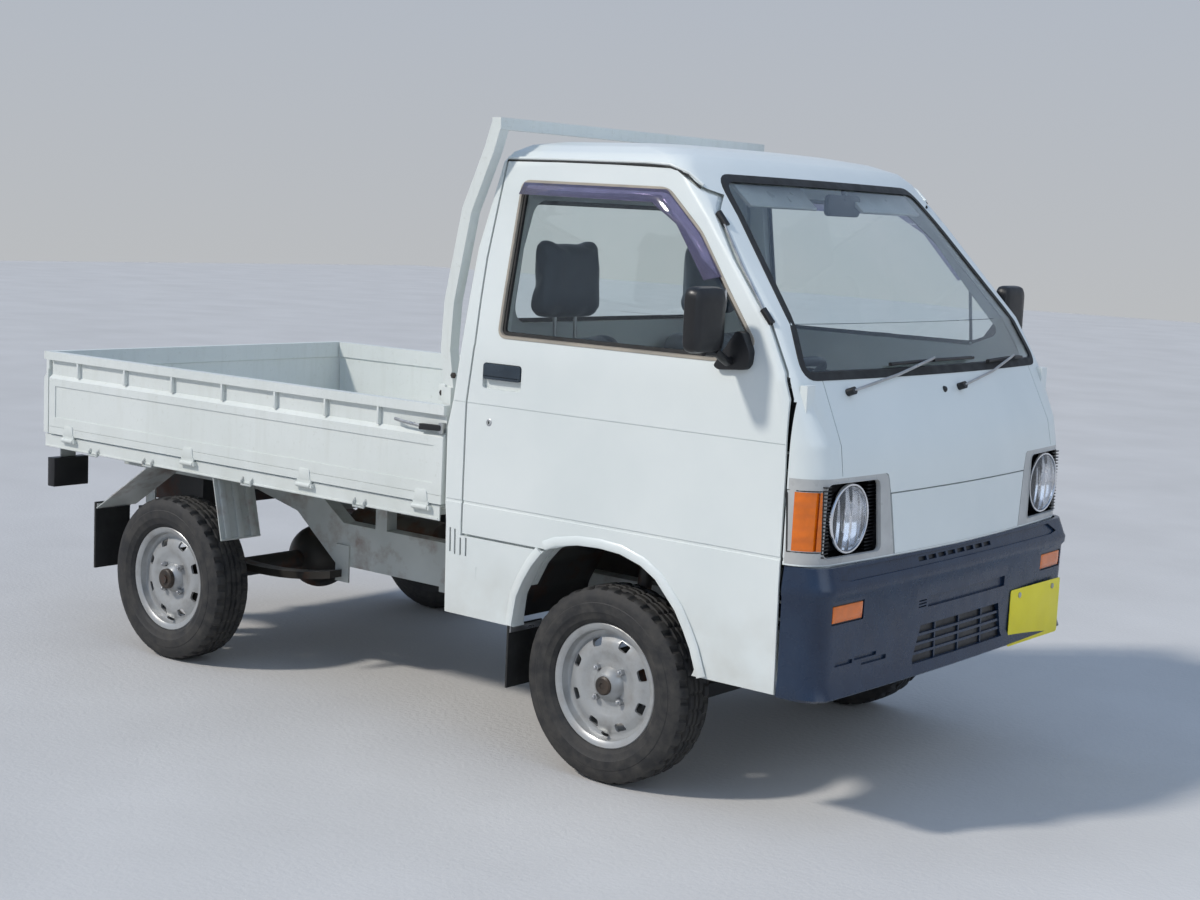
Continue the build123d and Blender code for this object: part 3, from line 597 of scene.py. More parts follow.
# Doors and rear quarters: pressed lines, handle recess, air slots
DOOR_WINDOW = [(496, 1586), (498, 1167), (1225, 1165), (1331, 1208), (1231, 1327), (1115, 1473), (989, 1579)]
LOWER_GROOVE = [(700, 686), (700, 709), (687.4, 700.5), (687.4, 694.5)]
UPPER_GROOVE = [(700, 972), (700, 980), (686, 976.8), (686, 975.2)]
AIR_SLOTS = [(352, 551, 619), (370, 546, 618), (391, 546, 595), (412, 546, 598)]
side_lines = [both(prism(points, "X", 300, 1476)) for points in (LOWER_GROOVE, UPPER_GROOVE)]
handle_outline = rounded([(450, 1021), (590, 1021), (590, 1092), (450, 1092)], 12)
handle_room = both(prism(handle_outline, "Y", -705, -674))
slots = [box((x - 3, x + 3), (-700, -679), (low, high)) for x, low, high in AIR_SLOTS]
# Black strips at the bottom of the air slots: painted shade inside the vent openings
slot_shade_strips = [box((x - 3, x + 3), (-683, -679.5), (low, high)) for x, low, high in AIR_SLOTS]
piece("air_slot_shade_strips", merged(*slot_shade_strips), "black_rubber")
for side in ("right", "left"):
    carved_node(f"door_{side}", "body_paint", side_lines + [handle_room], f"door_{side}")
quarter_seam = both(prism([(452, 376), (455, 376), (455, 520), (452, 520)], "Y", -700, -686))
carved_node("cab_rear_wall", "body_paint", side_lines + slots + [quarter_seam])

# Front panel with seams beside the middle and rooms for the headlamps
NOSE_SEAM = [(561, 1136), (568, 1010), (576, 902)]
seam_rings = []
for y, z in NOSE_SEAM:
    face = nose_x(y, z)
    seam_rings.append([(face - 3, y - 1.5, z), (face - 3, y + 1.5, z), (face + 9, y + 1.5, z), (face + 9, y - 1.5, z)])
lamp_room = box((1479, 1700), (402, 644), (697, 892))
carved_node("cab_front_panel", "body_paint", side_lines + [both(loft(seam_rings)), both(lamp_room)])
carved_node("windshield_pillars", "body_paint", [])
carved_node("cab_roof", "body_paint", [])

# Drip rail over each door, with a black strip under it as painted shadow of the gap
RAIL = [(425, 1650), (600, 1650), (905, 1647), (985, 1643), (1040, 1624), (1080, 1592)]
rail_path = [on_side(x, z, 2) for x, z in RAIL]
gap_shadow_path = [on_side(x, z - 7, 0.5) for x, z in RAIL]
piece("drip_rails", both(tube(rail_path, 5, 10)), "body_paint")
piece("drip_rail_gap_shadows", both(tube(gap_shadow_path, 2.6, 8)), "black_rubber")

# Wheel arch lips: one run on the door, one on the rear quarter
ARCH_DOOR = [(702, 611), (740, 627), (817, 641), (890, 644), (960, 639), (1030, 619), (1080, 590), (1147, 520)]
ARCH_DOOR += [(1176, 474), (1200, 429), (1218, 380), (1227, 357)]
ARCH_QUARTER = [(590, 380), (604, 465), (626, 512), (654, 558), (688, 598)]


def lip(path, half_width=11):
    rings = []
    for i, (x, z) in enumerate(path):
        ahead = Vector(path[min(i + 1, len(path) - 1)]) - Vector(path[max(i - 1, 0)])
        ahead.normalize()
        away = Vector((-ahead.y, ahead.x))
        ring = []
        for reach, out in ((-4, -22), (-4, 2.5), (0, 4), (2 * half_width - 4, 3.5), (2 * half_width, -1)):
            spot = Vector((x, z)) + away * reach
            ring.append((spot.x, -(SIDE_Y + out), spot.y))
        rings.append(ring)
    return loft(rings)


pair("arch_lip", lip(ARCH_DOOR), "body_paint", "door", angle=50)
piece("arch_lips_rear", both(lip(ARCH_QUARTER)), "body_paint", angle=50)

# Glass seals
screen_edge = rounded(trapezoid((627, 1136), (492, 1618)), 45, 6)
rear_edge = rounded(trapezoid((500, 1190), (450, 1540)), 50, 6)


def divided(outline, longest):
    """The outline with its long runs divided, so that a band follows a curved face."""
    result = []
    for here, after in zip(outline, outline[1:] + outline[:1]):
        steps = max(1, math.ceil((Vector(after) - Vector(here)).length / longest))
        result += [tuple(Vector(here).lerp(Vector(after), k / steps)) for k in range(steps)]
    return result


piece("windshield_seal", outline_band(divided(screen_edge, 40), 9, 13, on_nose), "black_rubber", angle=50)
piece("rear_window_seal", outline_band(divided(rear_edge, 60), 9, 13, on_rear), "black_rubber", angle=50)

# Door windows: outer trim, dark channel, divider, rain visor
window_edge = divided(rounded(DOOR_WINDOW, 24, 6), 60)


def channel(x, z, out):
    return on_side(x, z, out - 9)


VISOR_TOP = [(500, 1583), (988, 1577), (1113, 1471), (1200, 1366)]
VISOR_LOW = [(502, 1552), (958, 1544), (1047, 1492), (1160, 1356)]


def visor_strip():
    rings = []
    for top, low in zip(VISOR_TOP, VISOR_LOW):
        x, y, z = on_side(*top, 4)
        rings.append([on_side(*top, 1), on_side(*low, 17), on_side(*low, 19.5), (x + 2, y, z + 2)])
    return loft(rings)


divider_path = [on_side(1216, z, -10) for z in (1168, 1230, 1290, 1342)]
pair("window_trim", outline_band(window_edge, 7, 3, on_side), BEIGE, "door", angle=50)
pair("window_channel", outline_band(window_edge, -1, 13, channel), "black_rubber", "door", angle=50)
pair("window_divider", tube(divider_path, 5.5, 8, 0.7), SATIN, "door")
pair("rain_visor", visor_strip(), VISOR, "door", 0.6)
flap = prism(rounded([(453, 1047), (587, 1047), (587, 1090), (453, 1090)], 9), "Y", -689.5, -678)
pair("handle_flap", flap, LEVER, "door", 2, [box((456, 584), (-691, -686), (1054, 1056.5))])
KEYHOLE = [(-4, 0.1), (-4, 11), (1, 11), (3, 8), (3, 6.5), (1.5, 6), (1.5, 0.1)]
pair("keyhole", lathe(KEYHOLE, "Y", 32, (482, -687, 928)), SATIN, "door")
pair("key_slot", box((481, 483), (-692, -688), (924, 932)), "black_plastic", "door", 0.3)

# Door mirrors: rounded head with its glass, arm, base
MIRROR_BASE = [(1226, 1150), (1240, 1141), (1322, 1147), (1333, 1160), (1333, 1192), (1309, 1238), (1290, 1241)]


def mirror_head():
    edge = rounded([(-868, 1187), (-737, 1187), (-737, 1348), (-868, 1348)], 30, 6)
    middle = Vector((-802.5, 1267.5))
    rings = []
    for x, share in ((1251, 0.93), (1253, 0.97), (1262, 1), (1274, 0.99), (1284, 0.95), (1289, 0.86), (1291, 0.6)):
        rings.append([(x, *(middle + (Vector(p) - middle) * share)) for p in edge])
    return loft(rings)


mirror_arm = merged(
    tube([(1276, -694, 1166), (1278, -712, 1164), (1280, -738, 1176), (1276, -762, 1192)], 11, 12),
    tube([(1270, -800, 1188), (1274, -762, 1186), (1278, -740, 1180)], 9, 10),
)
glass_edge = rounded([(-862, 1193), (-743, 1193), (-743, 1342), (-862, 1342)], 26, 6)
pair("mirror_head", mirror_head(), "black_plastic", "door", replaced="mirror")
pair("mirror_base", prism(rounded(MIRROR_BASE, 8, 3), "Y", -699, -664), "black_plastic", "door", 2.5)
pair("mirror_arm", mirror_arm, "black_plastic", "door")
pair("mirror_glass", prism(glass_edge, "X", 1249.6, 1252), CHROME, "door", 0.4)

# Headlamps: slanted bezels, ribbed rooms, lamps
BEZEL_EDGE = [(346, 680), (380, 878), (386, 892), (398, 899)]
bezel_cut = prism([(300, 680)] + BEZEL_EDGE + [(300, 910)], "X", 1440, 1700)
lamp_window = rounded([(409, 704), (423, 885), (630, 885), (638, 704)], 18)
window_cut = prism(lamp_window, "X", 1440, 1700)
carved_node("headlamp_bezels", "bezel_plastic", [both(bezel_cut), both(window_cut)])
piece("bezel_rims", both(outline_band(divided(lamp_window, 30), 4, 1, on_nose)), "bezel_plastic", angle=50)
room = box((1480, 1566), (403, 643), (698, 891))
inside = box((1484, 1700), (407, 639), (702, 887))
nose_trim = slab([(380, 680), (660, 680)], [(380, 910), (660, 910)], 11, 200)
ribs = []
for k in range(20):
    low = 706 + 9 * k
    for across in ((404, 448), (618, 642)):
        ribs.append(box((1500, 1541), across, (low, low + 3)))
lamp_hole = lathe([(-300, 0.1), (-300, 91), (300, 91), (300, 0.1)], "X", 48, (1540, 536, 795))
piece("lamp_rooms", both(room), "black_plastic", cuts=[both(inside), both(nose_trim)])
piece("lamp_room_ribs", both(merged(*ribs)), "black_plastic", cuts=[both(lamp_hole)])
LAMP = (0, 536, 795)
bowl = [(1486, 0.1), (1486, 24), (1500, 58), (1530, 83), (1541, 86), (1541, 83), (1530, 79), (1503, 54), (1490, 0.1)]
lamp_lens = [(1538, 0.1), (1540, 82.5), (1545, 82.5), (1549, 74), (1555, 50), (1558, 25), (1559, 0.1)]
lamp_ring = [(1536, 81), (1536, 87), (1544, 88), (1549, 86), (1549, 82), (1545, 80)]
bulb = [(1488, 0.1), (1490, 12), (1512, 12), (1518, 7), (1519, 0.1)]
lamp_stem = [(1482, 0.1), (1482, 40), (1492, 40), (1492, 0.1)]
for name, profile, steps, material, nodes in (
    ("lamp_reflectors", bowl, 64, CHROME, ("headlamps",)),
    ("lamp_lenses", lamp_lens, 64, "lamp_glass", ()),
    ("lamp_rings", lamp_ring, 64, CHROME, ()),
    ("lamp_bulbs", bulb, 32, "bezel_plastic", ()),
    ("lamp_stems", lamp_stem, 32, "black_plastic", ()),
):
    piece(name, both(lathe(profile, "X", steps, LAMP)), material, replaced=nodes)

# Panel between the bezels, and the body's edge round it
garnish_low = [(-368, 843), (-343, 690), (343, 690), (368, 843)]
garnish_high = [(-368, 843.5), (368, 843.5)]
piece("garnish_panel", slab(garnish_low, garnish_high, 9, 0.8), "body_paint", replaced=("front_garnish",))
corner_low = [(345, 855), (373, 855), (378, 880), (384, 894), (394, 898.5)]
corner_high = [(345, 899), (394, 899)]
edge_fill = merged(both(slab(corner_low, corner_high, 9.5, 0)), level_slab((-371, 371), (847, 856), 9.5, 0))
piece("garnish_surround", edge_fill, "body_paint")

# Corner lamps in two parts, with a dark gasket between lens and bezel
lamp_upright = box((1523, 1528), (600, 800), (700, 900))
carved_node("amber_lamps", "amber_lens", [both(lamp_upright), box((1400, 1700), (-800, 800), (500, 650))])
gasket = outline_band(
    divided([(641, 720), (690, 720), (690, 868), (641, 868)], 8),
    3,
    2,
    lambda y, z, out: (nose_x(min(y, 689), z) + out * 0.4, min(y, 690.4), z),
)
piece("corner_gaskets", both(gasket), "black_rubber", angle=50)

# Bumper: lofted shell with trough, ledge slots, long slot, barred mouth and louvres


def bumper_loop(z, inset):
    half_y, corner, front, radius = bumper_plan(z, inset)
    big, middle_x, arc_x, arc_y, touch_y = plan_corner(half_y, corner, front, radius)
    reach = math.asin(arc_y / (big - radius))
    line = [(BUMPER_REAR, half_y, z)]
    for k in range(13):
        angle = math.pi / 2 - (math.pi / 2 - reach) * k / 12
        line.append((arc_x + radius * math.cos(angle), arc_y + radius * math.sin(angle), z))
    steps = 36
    for k in range(1, steps):
        y = touch_y * (1 - 2 * k / steps)
        line.append((middle_x + math.sqrt(big**2 - y**2), y, z))
    return line + [(x, -y, z) for x, y, z in reversed(line[:14])]


def bumper_shell():
    loops = [bumper_loop(z, 0) for z, _ in BUMPER_ROWS]
    loops += [bumper_loop(z, 13) for z, _ in reversed(BUMPER_ROWS)]
    return loft([[loop[i] for loop in loops] for i in range(len(loops[0]))])


trough_low = [(-604, 652), (-560, 646), (545, 646), (588, 652)]
trough_high = [(-604, 652.5), (-560, 676), (545, 676), (588, 652.5)]
bumper_cuts = [
    slab(trough_low, trough_high, 7, 40, bumper_x),
    level_slab((-178, 258), (531, 560), 8, 40, bumper_x),
    slab([(-243, 388), (260, 388)], [(-243, 389), (-208, 486), (230, 486), (260, 389)], 40, 40, bumper_x),
    both(level_slab((493, 632), (543, 593), 40, 60, bumper_x)),
    merged(*[level_slab((y, y + 40), (656, 667), 40, 40, bumper_x) for y in range(-227, 180, 51)]),
]
louvres = [((372, 486), (424, 436)), ((420, 520), (441, 451)), ((528, 604), (436, 447))]
bumper_cuts += [both(level_slab(y, z, 6, 40, bumper_x)) for y, z in louvres]
bumper_cuts.append(merged(*[level_slab((-226, -187), (z, z + 4), 6, 40, bumper_x) for z in (534, 542, 550)]))
piece("bumper_shell", bumper_shell(), "bumper_plastic", cuts=bumper_cuts, replaced=("bumper",))
mouth_bars = [level_slab((-236, 254), (z - 3.5, z + 3.5), 12, -3, bumper_x) for z in (412, 436, 460)]
uprights = [level_slab((y - 3, y + 3), (386, 488), 13, -7, bumper_x) for y in (-120, 10, 140)]
piece("bumper_bars", merged(*mouth_bars, *uprights), "bumper_plastic")
backing = merged(
    level_slab((-262, 278), (378, 497), 18, -14, bumper_x),
    level_slab((-262, 200), (650, 672), 18, -14, bumper_x),
)
piece("bumper_backing", backing, "black_plastic")
piece("bumper_stays", both(box((1484, 1582), (290, 350), (505, 575))), "chassis_black", edge=2)
lens_box = both(level_slab((497, 628), (547, 589), 11, -1, bumper_x))
piece("bumper_lamp_lenses", lens_box, "amber_lens", edge=2)
frame_box = both(level_slab((493.5, 631.5), (543.5, 592.5), 12, -3.5, bumper_x))
piece("bumper_lamp_frames", frame_box, "black_plastic")

# Blank plate with two bolts, washer nozzle
plate_edge = rounded([(302, 349), (618, 349), (618, 511), (302, 511)], 9)
piece("plate", prism(plate_edge, "X", 1584, 1586.5), YELLOW, edge=0.8)
PLATE_BOLT = [(1586, 0.1), (1586, 8), (1589, 8), (1590.5, 5), (1590.5, 0.1)]
piece("plate_bolts", merged(*[lathe(PLATE_BOLT, "X", 24, (0, y, 492)) for y in (355, 565)]), SATIN)
holder = merged(*[box((1560, 1584.2), across, (478, 500)) for across in ((340, 372), (548, 580))])
piece("plate_holders", holder, "black_plastic", edge=1)
nozzle = lathe([(-3, 0.1), (-3, 9), (3, 8), (6, 5), (7, 0.1)], "X", 24, (nose_x(-26, 1088), -26, 1088))
piece("washer_nozzle", nozzle, "black_plastic")

# Wipers and aerial
WIPERS = [
    ((-477, 1096), [(-268, 1136), (-60, 1172)], [(-269, 1160), (-50, 1164), (174, 1164)]),
    ((55, 1090), [(247, 1128), (430, 1163)], [(260, 1152), (390, 1155), (505, 1155)]),
]
pivots, arms, blades, rubbers = [], [], [], []
for (pivot_y, pivot_z), arm, blade in WIPERS:
    base = nose_x(pivot_y, pivot_z)
    pivots.append(tube([(base - 4, pivot_y, pivot_z), (base + 20, pivot_y, pivot_z + 9)], 10, 16))
    run = [(base + 18, pivot_y, pivot_z + 8)] + [on_nose(y, z, 24) for y, z in arm]
    arms.append(tube(run, 4.2, 10, 0.6))
    blades.append(tube([on_nose(y, z, 15) for y, z in blade], 4, 8, 0.6))
    rubbers.append(tube([on_nose(y, z, 8) for y, z in blade], 4.5, 8, 0.5))
    middle_y, middle_z = arm[-1]
    pivots.append(tube([on_nose(middle_y, middle_z - 4, 25), on_nose(middle_y, middle_z - 8, 12)], 5, 10))
piece("wiper_pivots", merged(*pivots), "black_plastic")
piece("wiper_arms", merged(*arms), SATIN)
piece("wiper_blades", merged(*blades), "black_plastic")
piece("wiper_rubbers", merged(*rubbers), "black_rubber")
aerial = [on_side(x, z, 9) for x, z in ((1154, 1515), (1250, 1398), (1345, 1285))]
piece("aerial_rod", tube(aerial, 3, 10), SATIN)
mounts = []
for x, z in ((1158, 1510), (1350, 1279)):
    y = on_side(x, z, 6)[1]
    mounts.append(tube([(x - 14, y, z + 16), (x + 14, y, z - 16)], 9, 14))
piece("aerial_mounts", merged(*mounts), "black_plastic")


# Wheels: rims with eight vents, nuts and hub cap, and treaded tyres, modelled for the right side
HUB_Z = 266
# Place, x, y, half turn, hub cap radius and length
WHEELS = [
    ("front_right", 899, -601, False, 26, 9),
    ("front_left", 899, 601, True, 26, 9),
    ("rear_right", -921, -611, False, 33, 15),
    ("rear_left", -921, 611, True, 33, 15),
]
RIM = [
    (57.5, 167), (55.5, 169.5), (52, 168.5), (48, 153), (26, 151.5), (16, 136), (-14, 136), (-24, 151.5),
    (-48, 153), (-52, 169.5), (-57.5, 169.5), (-57.5, 164), (-51, 148), (-26, 146.5), (-16, 131), (20, 131),
    (30, 112), (32, 92), (24, 74), (24, 40), (38, 36), (38, 14.1), (56, 14.1), (56, 28), (52, 31),
    (44, 42), (31, 48), (30, 60), (30, 70), (37, 84), (39, 94), (38, 108), (35, 120), (27, 133),
    (26, 138), (29, 146), (34, 149), (50, 150), (54, 155), (56, 162),
]
TYRE = [
    (47.5, 153.4), (51, 160), (52.5, 168), (57, 171), (61, 173), (65, 180), (66.5, 181), (69, 188), (72, 199),
    (72.8, 200), (73.5, 213), (73, 224), (71.5, 226), (71, 236), (68, 246), (64.5, 252), (62, 258),
    (57, 262), (50, 264.2), (36, 265.4), (33.5, 258.5), (29.5, 258.5), (27, 265.6), (14, 266),
    (11.5, 258.5), (7.5, 258.5), (5, 266),
]
TYRE += [(-w, r) for w, r in reversed(TYRE)]
TYRE_STEPS = 216
TREAD_R = 259
SHOULDER = 30


def treaded_tyre():
    """The tyre turned about its axle, with sipes across the blocks between its grooves."""
    rings = []
    for k in range(TYRE_STEPS):
        ring = []
        for w, r in TYRE:
            lateral = k % 6 in (0, 1) and r > TREAD_R and abs(w) > SHOULDER
            centre = (k + 3) % 6 == 0 and r > TREAD_R and abs(w) <= SHOULDER
            lean = 0.012 * (w / SHOULDER) if r > 250 else 0
            angle = math.tau * k / TYRE_STEPS + lean
            reach = r - (6.5 if lateral else 4.5 if centre else 0)
            ring.append((reach * math.cos(angle), -w, reach * math.sin(angle)))
        rings.append(ring)
    return loft(rings, closed=True)


def vent(angle):
    """One rounded opening in the wheel's disc."""
    points = []
    for a, b in rounded([(-11, -18), (11, -14), (11, 14), (-11, 18)], 6, 3):
        radial, across = 117 - a, b
        c, s = math.cos(angle), math.sin(angle)
        points.append((radial * c - across * s, radial * s + across * c))
    return prism(points, "Y", -70, -10)


vents = merged(*[vent(math.tau * (k + 0.5) / 8) for k in range(8)])
rim_shape = lathe(RIM, "Y", 72)
stud = [(29, 0.1), (29, 5), (49, 5), (50.5, 3.5), (50.5, 0.1)]
nut_parts = []
for k in range(4):
    angle = math.tau * (k + 0.5) / 4
    at = (57 * math.cos(angle), 57 * math.sin(angle))
    hexagon = [(at[0] + 9.5 * c, at[1] + 9.5 * s) for c, s in around(6)]
    nut_parts.append(prism(hexagon, "Y", -44, -29))
    nut_parts.append(lathe(stud, "Y", 16, (at[0], 0, at[1])))
rim_mesh = new_object("rim_master", mesh_of(rim_shape, "rim_master"))
carve(rim_mesh, [vents])
smooth(rim_mesh.data, 32)
tyre_mesh = mesh_of(treaded_tyre(), "tyre_master")
smooth(tyre_mesh, 38)
for place, x, y, turned, cap_r, cap_l in WHEELS:
    body = f"wheel_{place}"
    seat = Matrix.Translation((x * MM, y * MM, HUB_Z * MM)) @ Matrix.Rotation(math.pi if turned else 0, 4, "Z")
    for kind, master, material in (("rim", rim_mesh.data, "wheel_steel"), ("tyre", tyre_mesh, "tyre")):
        mesh = master.copy()
        mesh.transform(seat)
        obj = new_object(f"{kind}_{place}_form", mesh)
        finish_piece(obj, material, body, 34, (f"{kind}_{place}",))
    cap = [(54, 0.1), (54, cap_r), (54 + cap_l - 3, cap_r - 1), (54 + cap_l, cap_r - 5), (54 + cap_l, 9)]
    cap += [(52 + cap_l, 8), (52 + cap_l, 0.1)]
    centre = (x, y, HUB_Z)
    piece(f"hub_cap_{place}", moved(lathe(cap, "Y", 40), centre, turned), HUB_BROWN, body)
    piece(f"wheel_nuts_{place}", moved(merged(*nut_parts), centre, turned), SATIN, body, 0.6)
    valve = tube([(0, -30, -140), (0, -44, -134), (0, -52, -128)], 4, 8)
    piece(f"valve_{place}", moved(valve, centre, turned), "black_rubber", body)
bpy.data.objects.remove(rim_mesh)

# Gates: pressed panel, open channel with small ribs under the rail, latch
gate_cuts = [
    box((-1551.5, 310.5), (-700, -674), (879, 930)),
    box((-1516, 275), (-700, -685), (735, 842)),
    prism([(-700, 698), (-700, 706), (-685.5, 702)], "X", -1552, 311),
]
gate_ribs = [box((x - 4, x + 4), (-687.2, -673), (878, 931)) for x in (-1394, -1140, -895, -648, -401, -178, 46)]
leaf_parts = []
for x in (-1438, -804, -256, 232):
    leaf = rounded([(x - 27, 678), (x + 27, 678), (x + 22, 712), (x - 22, 712)], 5, 3)
    leaf_parts.append(prism(leaf, "Y", -690.6, -687))
lever = tube([(120, -689, 902), (150, -694, 899), (225, -694, 893)], 5, 12, 0.7)
toggle = prism(rounded([(222, 882), (306, 886), (306, 902), (222, 900)], 5, 3), "Y", -697, -684)
catch = box((296, 309), (-694, -674), (878, 908))
carved_node("side_gate_right", "bed_paint", gate_cuts, "side_gate_right")
carved_node("side_gate_left", "bed_paint", [mirrored(cut) for cut in gate_cuts], "side_gate_left")
pair("gate_ribs", merged(*gate_ribs), "bed_paint", "side_gate", 1)
pair("gate_leaves", merged(*leaf_parts), "bed_paint", "side_gate", 0.8)
pair("gate_lever", lever, SATIN, "side_gate")
pair("gate_toggle", toggle, "black_plastic", "side_gate", 1.5)
pair("gate_catch", catch, SATIN, "side_gate", 1.5)
tail_cuts = [
    box((-1600, -1574), (-683.5, 683.5), (879, 930)),
    box((-1600, -1585), (-640, 640), (735, 842)),
    box((-1600, -1586), (-683.5, 683.5), (699, 704)),
]
carved_node("tailgate", "bed_paint", tail_cuts, "tailgate")
tail_ribs = [box((-1587.2, -1573), (y - 4, y + 4), (878, 931)) for y in range(-660, 661, 220)]
piece("tailgate_ribs", merged(*tail_ribs), "bed_paint", "tailgate", 1)

# Headboard ribs, guard bolts, lashing hooks under the sill
rib_edges = [[(270.5, z - 4), (265, z), (265, z + 12), (270.5, z + 16)] for z in (735, 805, 875)]
piece("headboard_ribs", merged(*[prism(edge, "Y", -615, 615) for edge in rib_edges]), "bed_paint", edge=0.8)
piece("guard_feet", both(box((246, 272), (-646, -600), (968, 1012))), "bed_paint", edge=2)
guard_bolt = [(0, 0.1), (0, 9), (6, 9), (8, 6), (8, 0.1)]
guard_bolts = [lathe(guard_bolt, "Y", 6, (x, -640, z)) for x, z in ((257.5, 987), (299, 1040))]
piece("guard_bolts", both(merged(*guard_bolts)), "cast_parts")
hooks = []
for x in (-1300, -1010, -520, -20):
    for shift in (-22, 22):
        hooks.append(tube([(x + shift, -679, 650), (x + shift, -688, 640), (x + shift, -688, 626)], 3.5, 8))
    hooks.append(tube([(x - 22, -688, 627), (x + 22, -688, 627)], 3.5, 8))
piece("lashing_hooks", both(merged(*hooks)), "frame_paint")
piece("sill_lips", both(box((-1578, 296), (-683.5, -678), (630, 636))), "bed_paint", edge=1.2)

# Rear fenders' ribs, lamp housings and lenses, bolts on the mud flaps
rib = [(-692, 622), (-678, 622), (-634, 440), (-648, 436)]
fender_ribs = [prism(rib, "Y", y - 13, y + 13) for y in (-652, -600, -548)]
piece("fender_ribs", both(merged(*fender_ribs)), "frame_paint", edge=4)
piece("fender_edges", both(tube([(-643, -679, 436), (-643, -521, 436)], 5, 10)), "frame_paint")
housing = box((-1574, -1536), (-675, -535), (490, 590))
housing_room = box((-1580, -1566), (-669, -541), (496, 584))
piece("lamp_housings", both(housing), "black_plastic", edge=2, cuts=[both(housing_room)], replaced=("rear_lamps",))
piece("lamp_stalks", both(box((-1560, -1554), (-635, -575), (588, 658))), "frame_paint", edge=0.8)
for name, across, material in (
    ("lamp_red", (-667, -628), "red_lens"), ("lamp_amber", (-626, -584), REAR_AMBER),
    ("lamp_white", (-582, -543), REAR_WHITE),
):
    piece(name, both(box((-1575, -1565), across, (498, 582))), material, edge=2)
flap_bars = both(merged(box((-1290, -1285), (-678, -542), (448, 466)), box((577, 581), (-678, -542), (356, 374))))
piece("flap_bars", flap_bars, SATIN, edge=0.8)

# Cabin: rear-view mirror, sun visors, gear lever, pedals, instrument hood, handles inside
hood_edge = [(1262, 1085), (1300, 1128), (1372, 1136), (1400, 1110), (1400, 1080), (1270, 1060)]
piece("instrument_hood", prism(rounded(hood_edge, 10, 3), "Y", -500, -180), "dash_plastic", edge=6)
mirror_edge = rounded([(-20, 1530), (150, 1530), (150, 1590), (-20, 1590)], 18, 5)
mirror_back = loft([[(x, *p) for p in mirror_edge] for x in (1092, 1098, 1108)])
piece("inner_mirror", mirror_back, "black_plastic", edge=3)
piece("inner_mirror_stem", tube([(1106, 65, 1575), (1096, 65, 1612), (1080, 65, 1626)], 6, 10), "black_plastic")
visor_edge = [(1050, 1608), (1130, 1540), (1138, 1546), (1058, 1618)]
piece("sun_visors", both(prism(rounded(visor_edge, 3, 2), "Y", -440, -120)), "bezel_plastic", edge=3)
piece("gear_lever", tube([(1010, 0, 745), (1040, 0, 880), (1035, 0, 960)], 8, 12), SATIN)
knob = lathe([(-24, 0.1), (-20, 16), (0, 23), (16, 20), (26, 10), (28, 0.1)], "X", 24)
knob = ([(1035 + y, z, 972 + x) for x, y, z in knob[0]], knob[1])
piece("gear_knob", knob, "black_plastic")
GAITER = [(744, 62, 0), (752, 58, 2), (764, 40, 5), (772, 42, 7), (790, 24, 10), (812, 14, 14)]
gaiter = loft([[(1008 + lean + r * c, r * s, z) for c, s in around(20)] for z, r, lean in GAITER])
piece("gear_gaiter", gaiter, "black_rubber")
pedals = []
for y in (-470, -380, -290):
    pedals.append(box((1392, 1402), (y - 28, y + 28), (560, 640)))
    pedals.append(tube([(1400, y, 620), (1440, y, 760), (1466, y, 860)], 6, 8))
piece("pedals", merged(*pedals), "black_rubber", edge=1.5)
mats = both(prism(rounded([(1205, 60), (1440, 60), (1440, 600), (1205, 600)], 40), "Z", 508, 514))
piece("floor_mats", mats, "black_rubber", edge=2)
grip = tube([(620, -636, 1040), (620, -606, 1040), (780, -606, 1040), (780, -636, 1040)], 9, 10)
pair("door_pull", grip, "black_plastic", "door")
crank = merged(
    tube([(960, -643, 930), (960, -620, 930)], 13, 16),
    tube([(960, -624, 930), (1040, -616, 960)], 6, 10),
    tube([(1040, -618, 960), (1040, -588, 960)], 9, 12),
)
pair("window_crank", crank, "black_plastic", "door")

# Seats: cushion, back and headrest, padded, on a low steel base
VOXEL = 0.012
PRESSURE = 4
PRESSED_FRAMES = 14
# Name, side outline in x, z, reach across the truck, and how far the cloth may swell in metres
PADS = [
    ("cushion", [(488, 772), (1004, 786), (1008, 846), (560, 838), (488, 846)], (128, 582), 0.02),
    ("back", [(452, 836), (548, 846), (508, 1172), (428, 1166)], (134, 576), 0.018),
    ("headrest", [(424, 1204), (494, 1208), (482, 1440), (434, 1436)], (226, 484), 0.016),
]


def pad_start(outline, y):
    """A closed form with softened corners, a little smaller than the pad."""
    rings = []
    middle = Vector((sum(p[0] for p in outline) / len(outline), sum(p[1] for p in outline) / len(outline)))
    edge = rounded(outline, 30, 5)
    width = y[1] - y[0]
    for at, share in ((0, 0.8), (0.03, 0.92), (0.1, 0.985), (0.5, 1), (0.9, 0.985), (0.97, 0.92), (1, 0.8)):
        spots = [middle + (Vector(p) - middle) * share for p in edge]
        rings.append([(spot.x, -(y[0] + width * at), spot.y) for spot in spots])
    return loft(rings)


def start_pad(name, outline, y):
    obj = new_object(name, mesh_of(pad_start(outline, y), name))
    modify(obj, "REMESH", mode="VOXEL", voxel_size=VOXEL)
    realise(obj)
    return obj


def inflate(pads):
    """Swells pads as cloth under pressure, each by no more than its own limit."""
    starts = []
    for obj, _ in pads:
        starts.append([v.co.copy() for v in obj.data.vertices])
        settings = modify(obj, "CLOTH").settings
        settings.use_pressure = True
        settings.uniform_pressure_force = PRESSURE
        settings.quality = 4
        settings.tension_stiffness = 20
        settings.effector_weights.gravity = 0
    for number in range(1, PRESSED_FRAMES + 1):
        bpy.context.scene.frame_set(number)
    for (obj, limit), start in zip(pads, starts):
        realise(obj)
        for vertex, origin in zip(obj.data.vertices, start):
            shift = vertex.co - origin
            if shift.length > limit:
                vertex.co = origin + shift.normalized() * limit
    bpy.context.scene.frame_set(1)


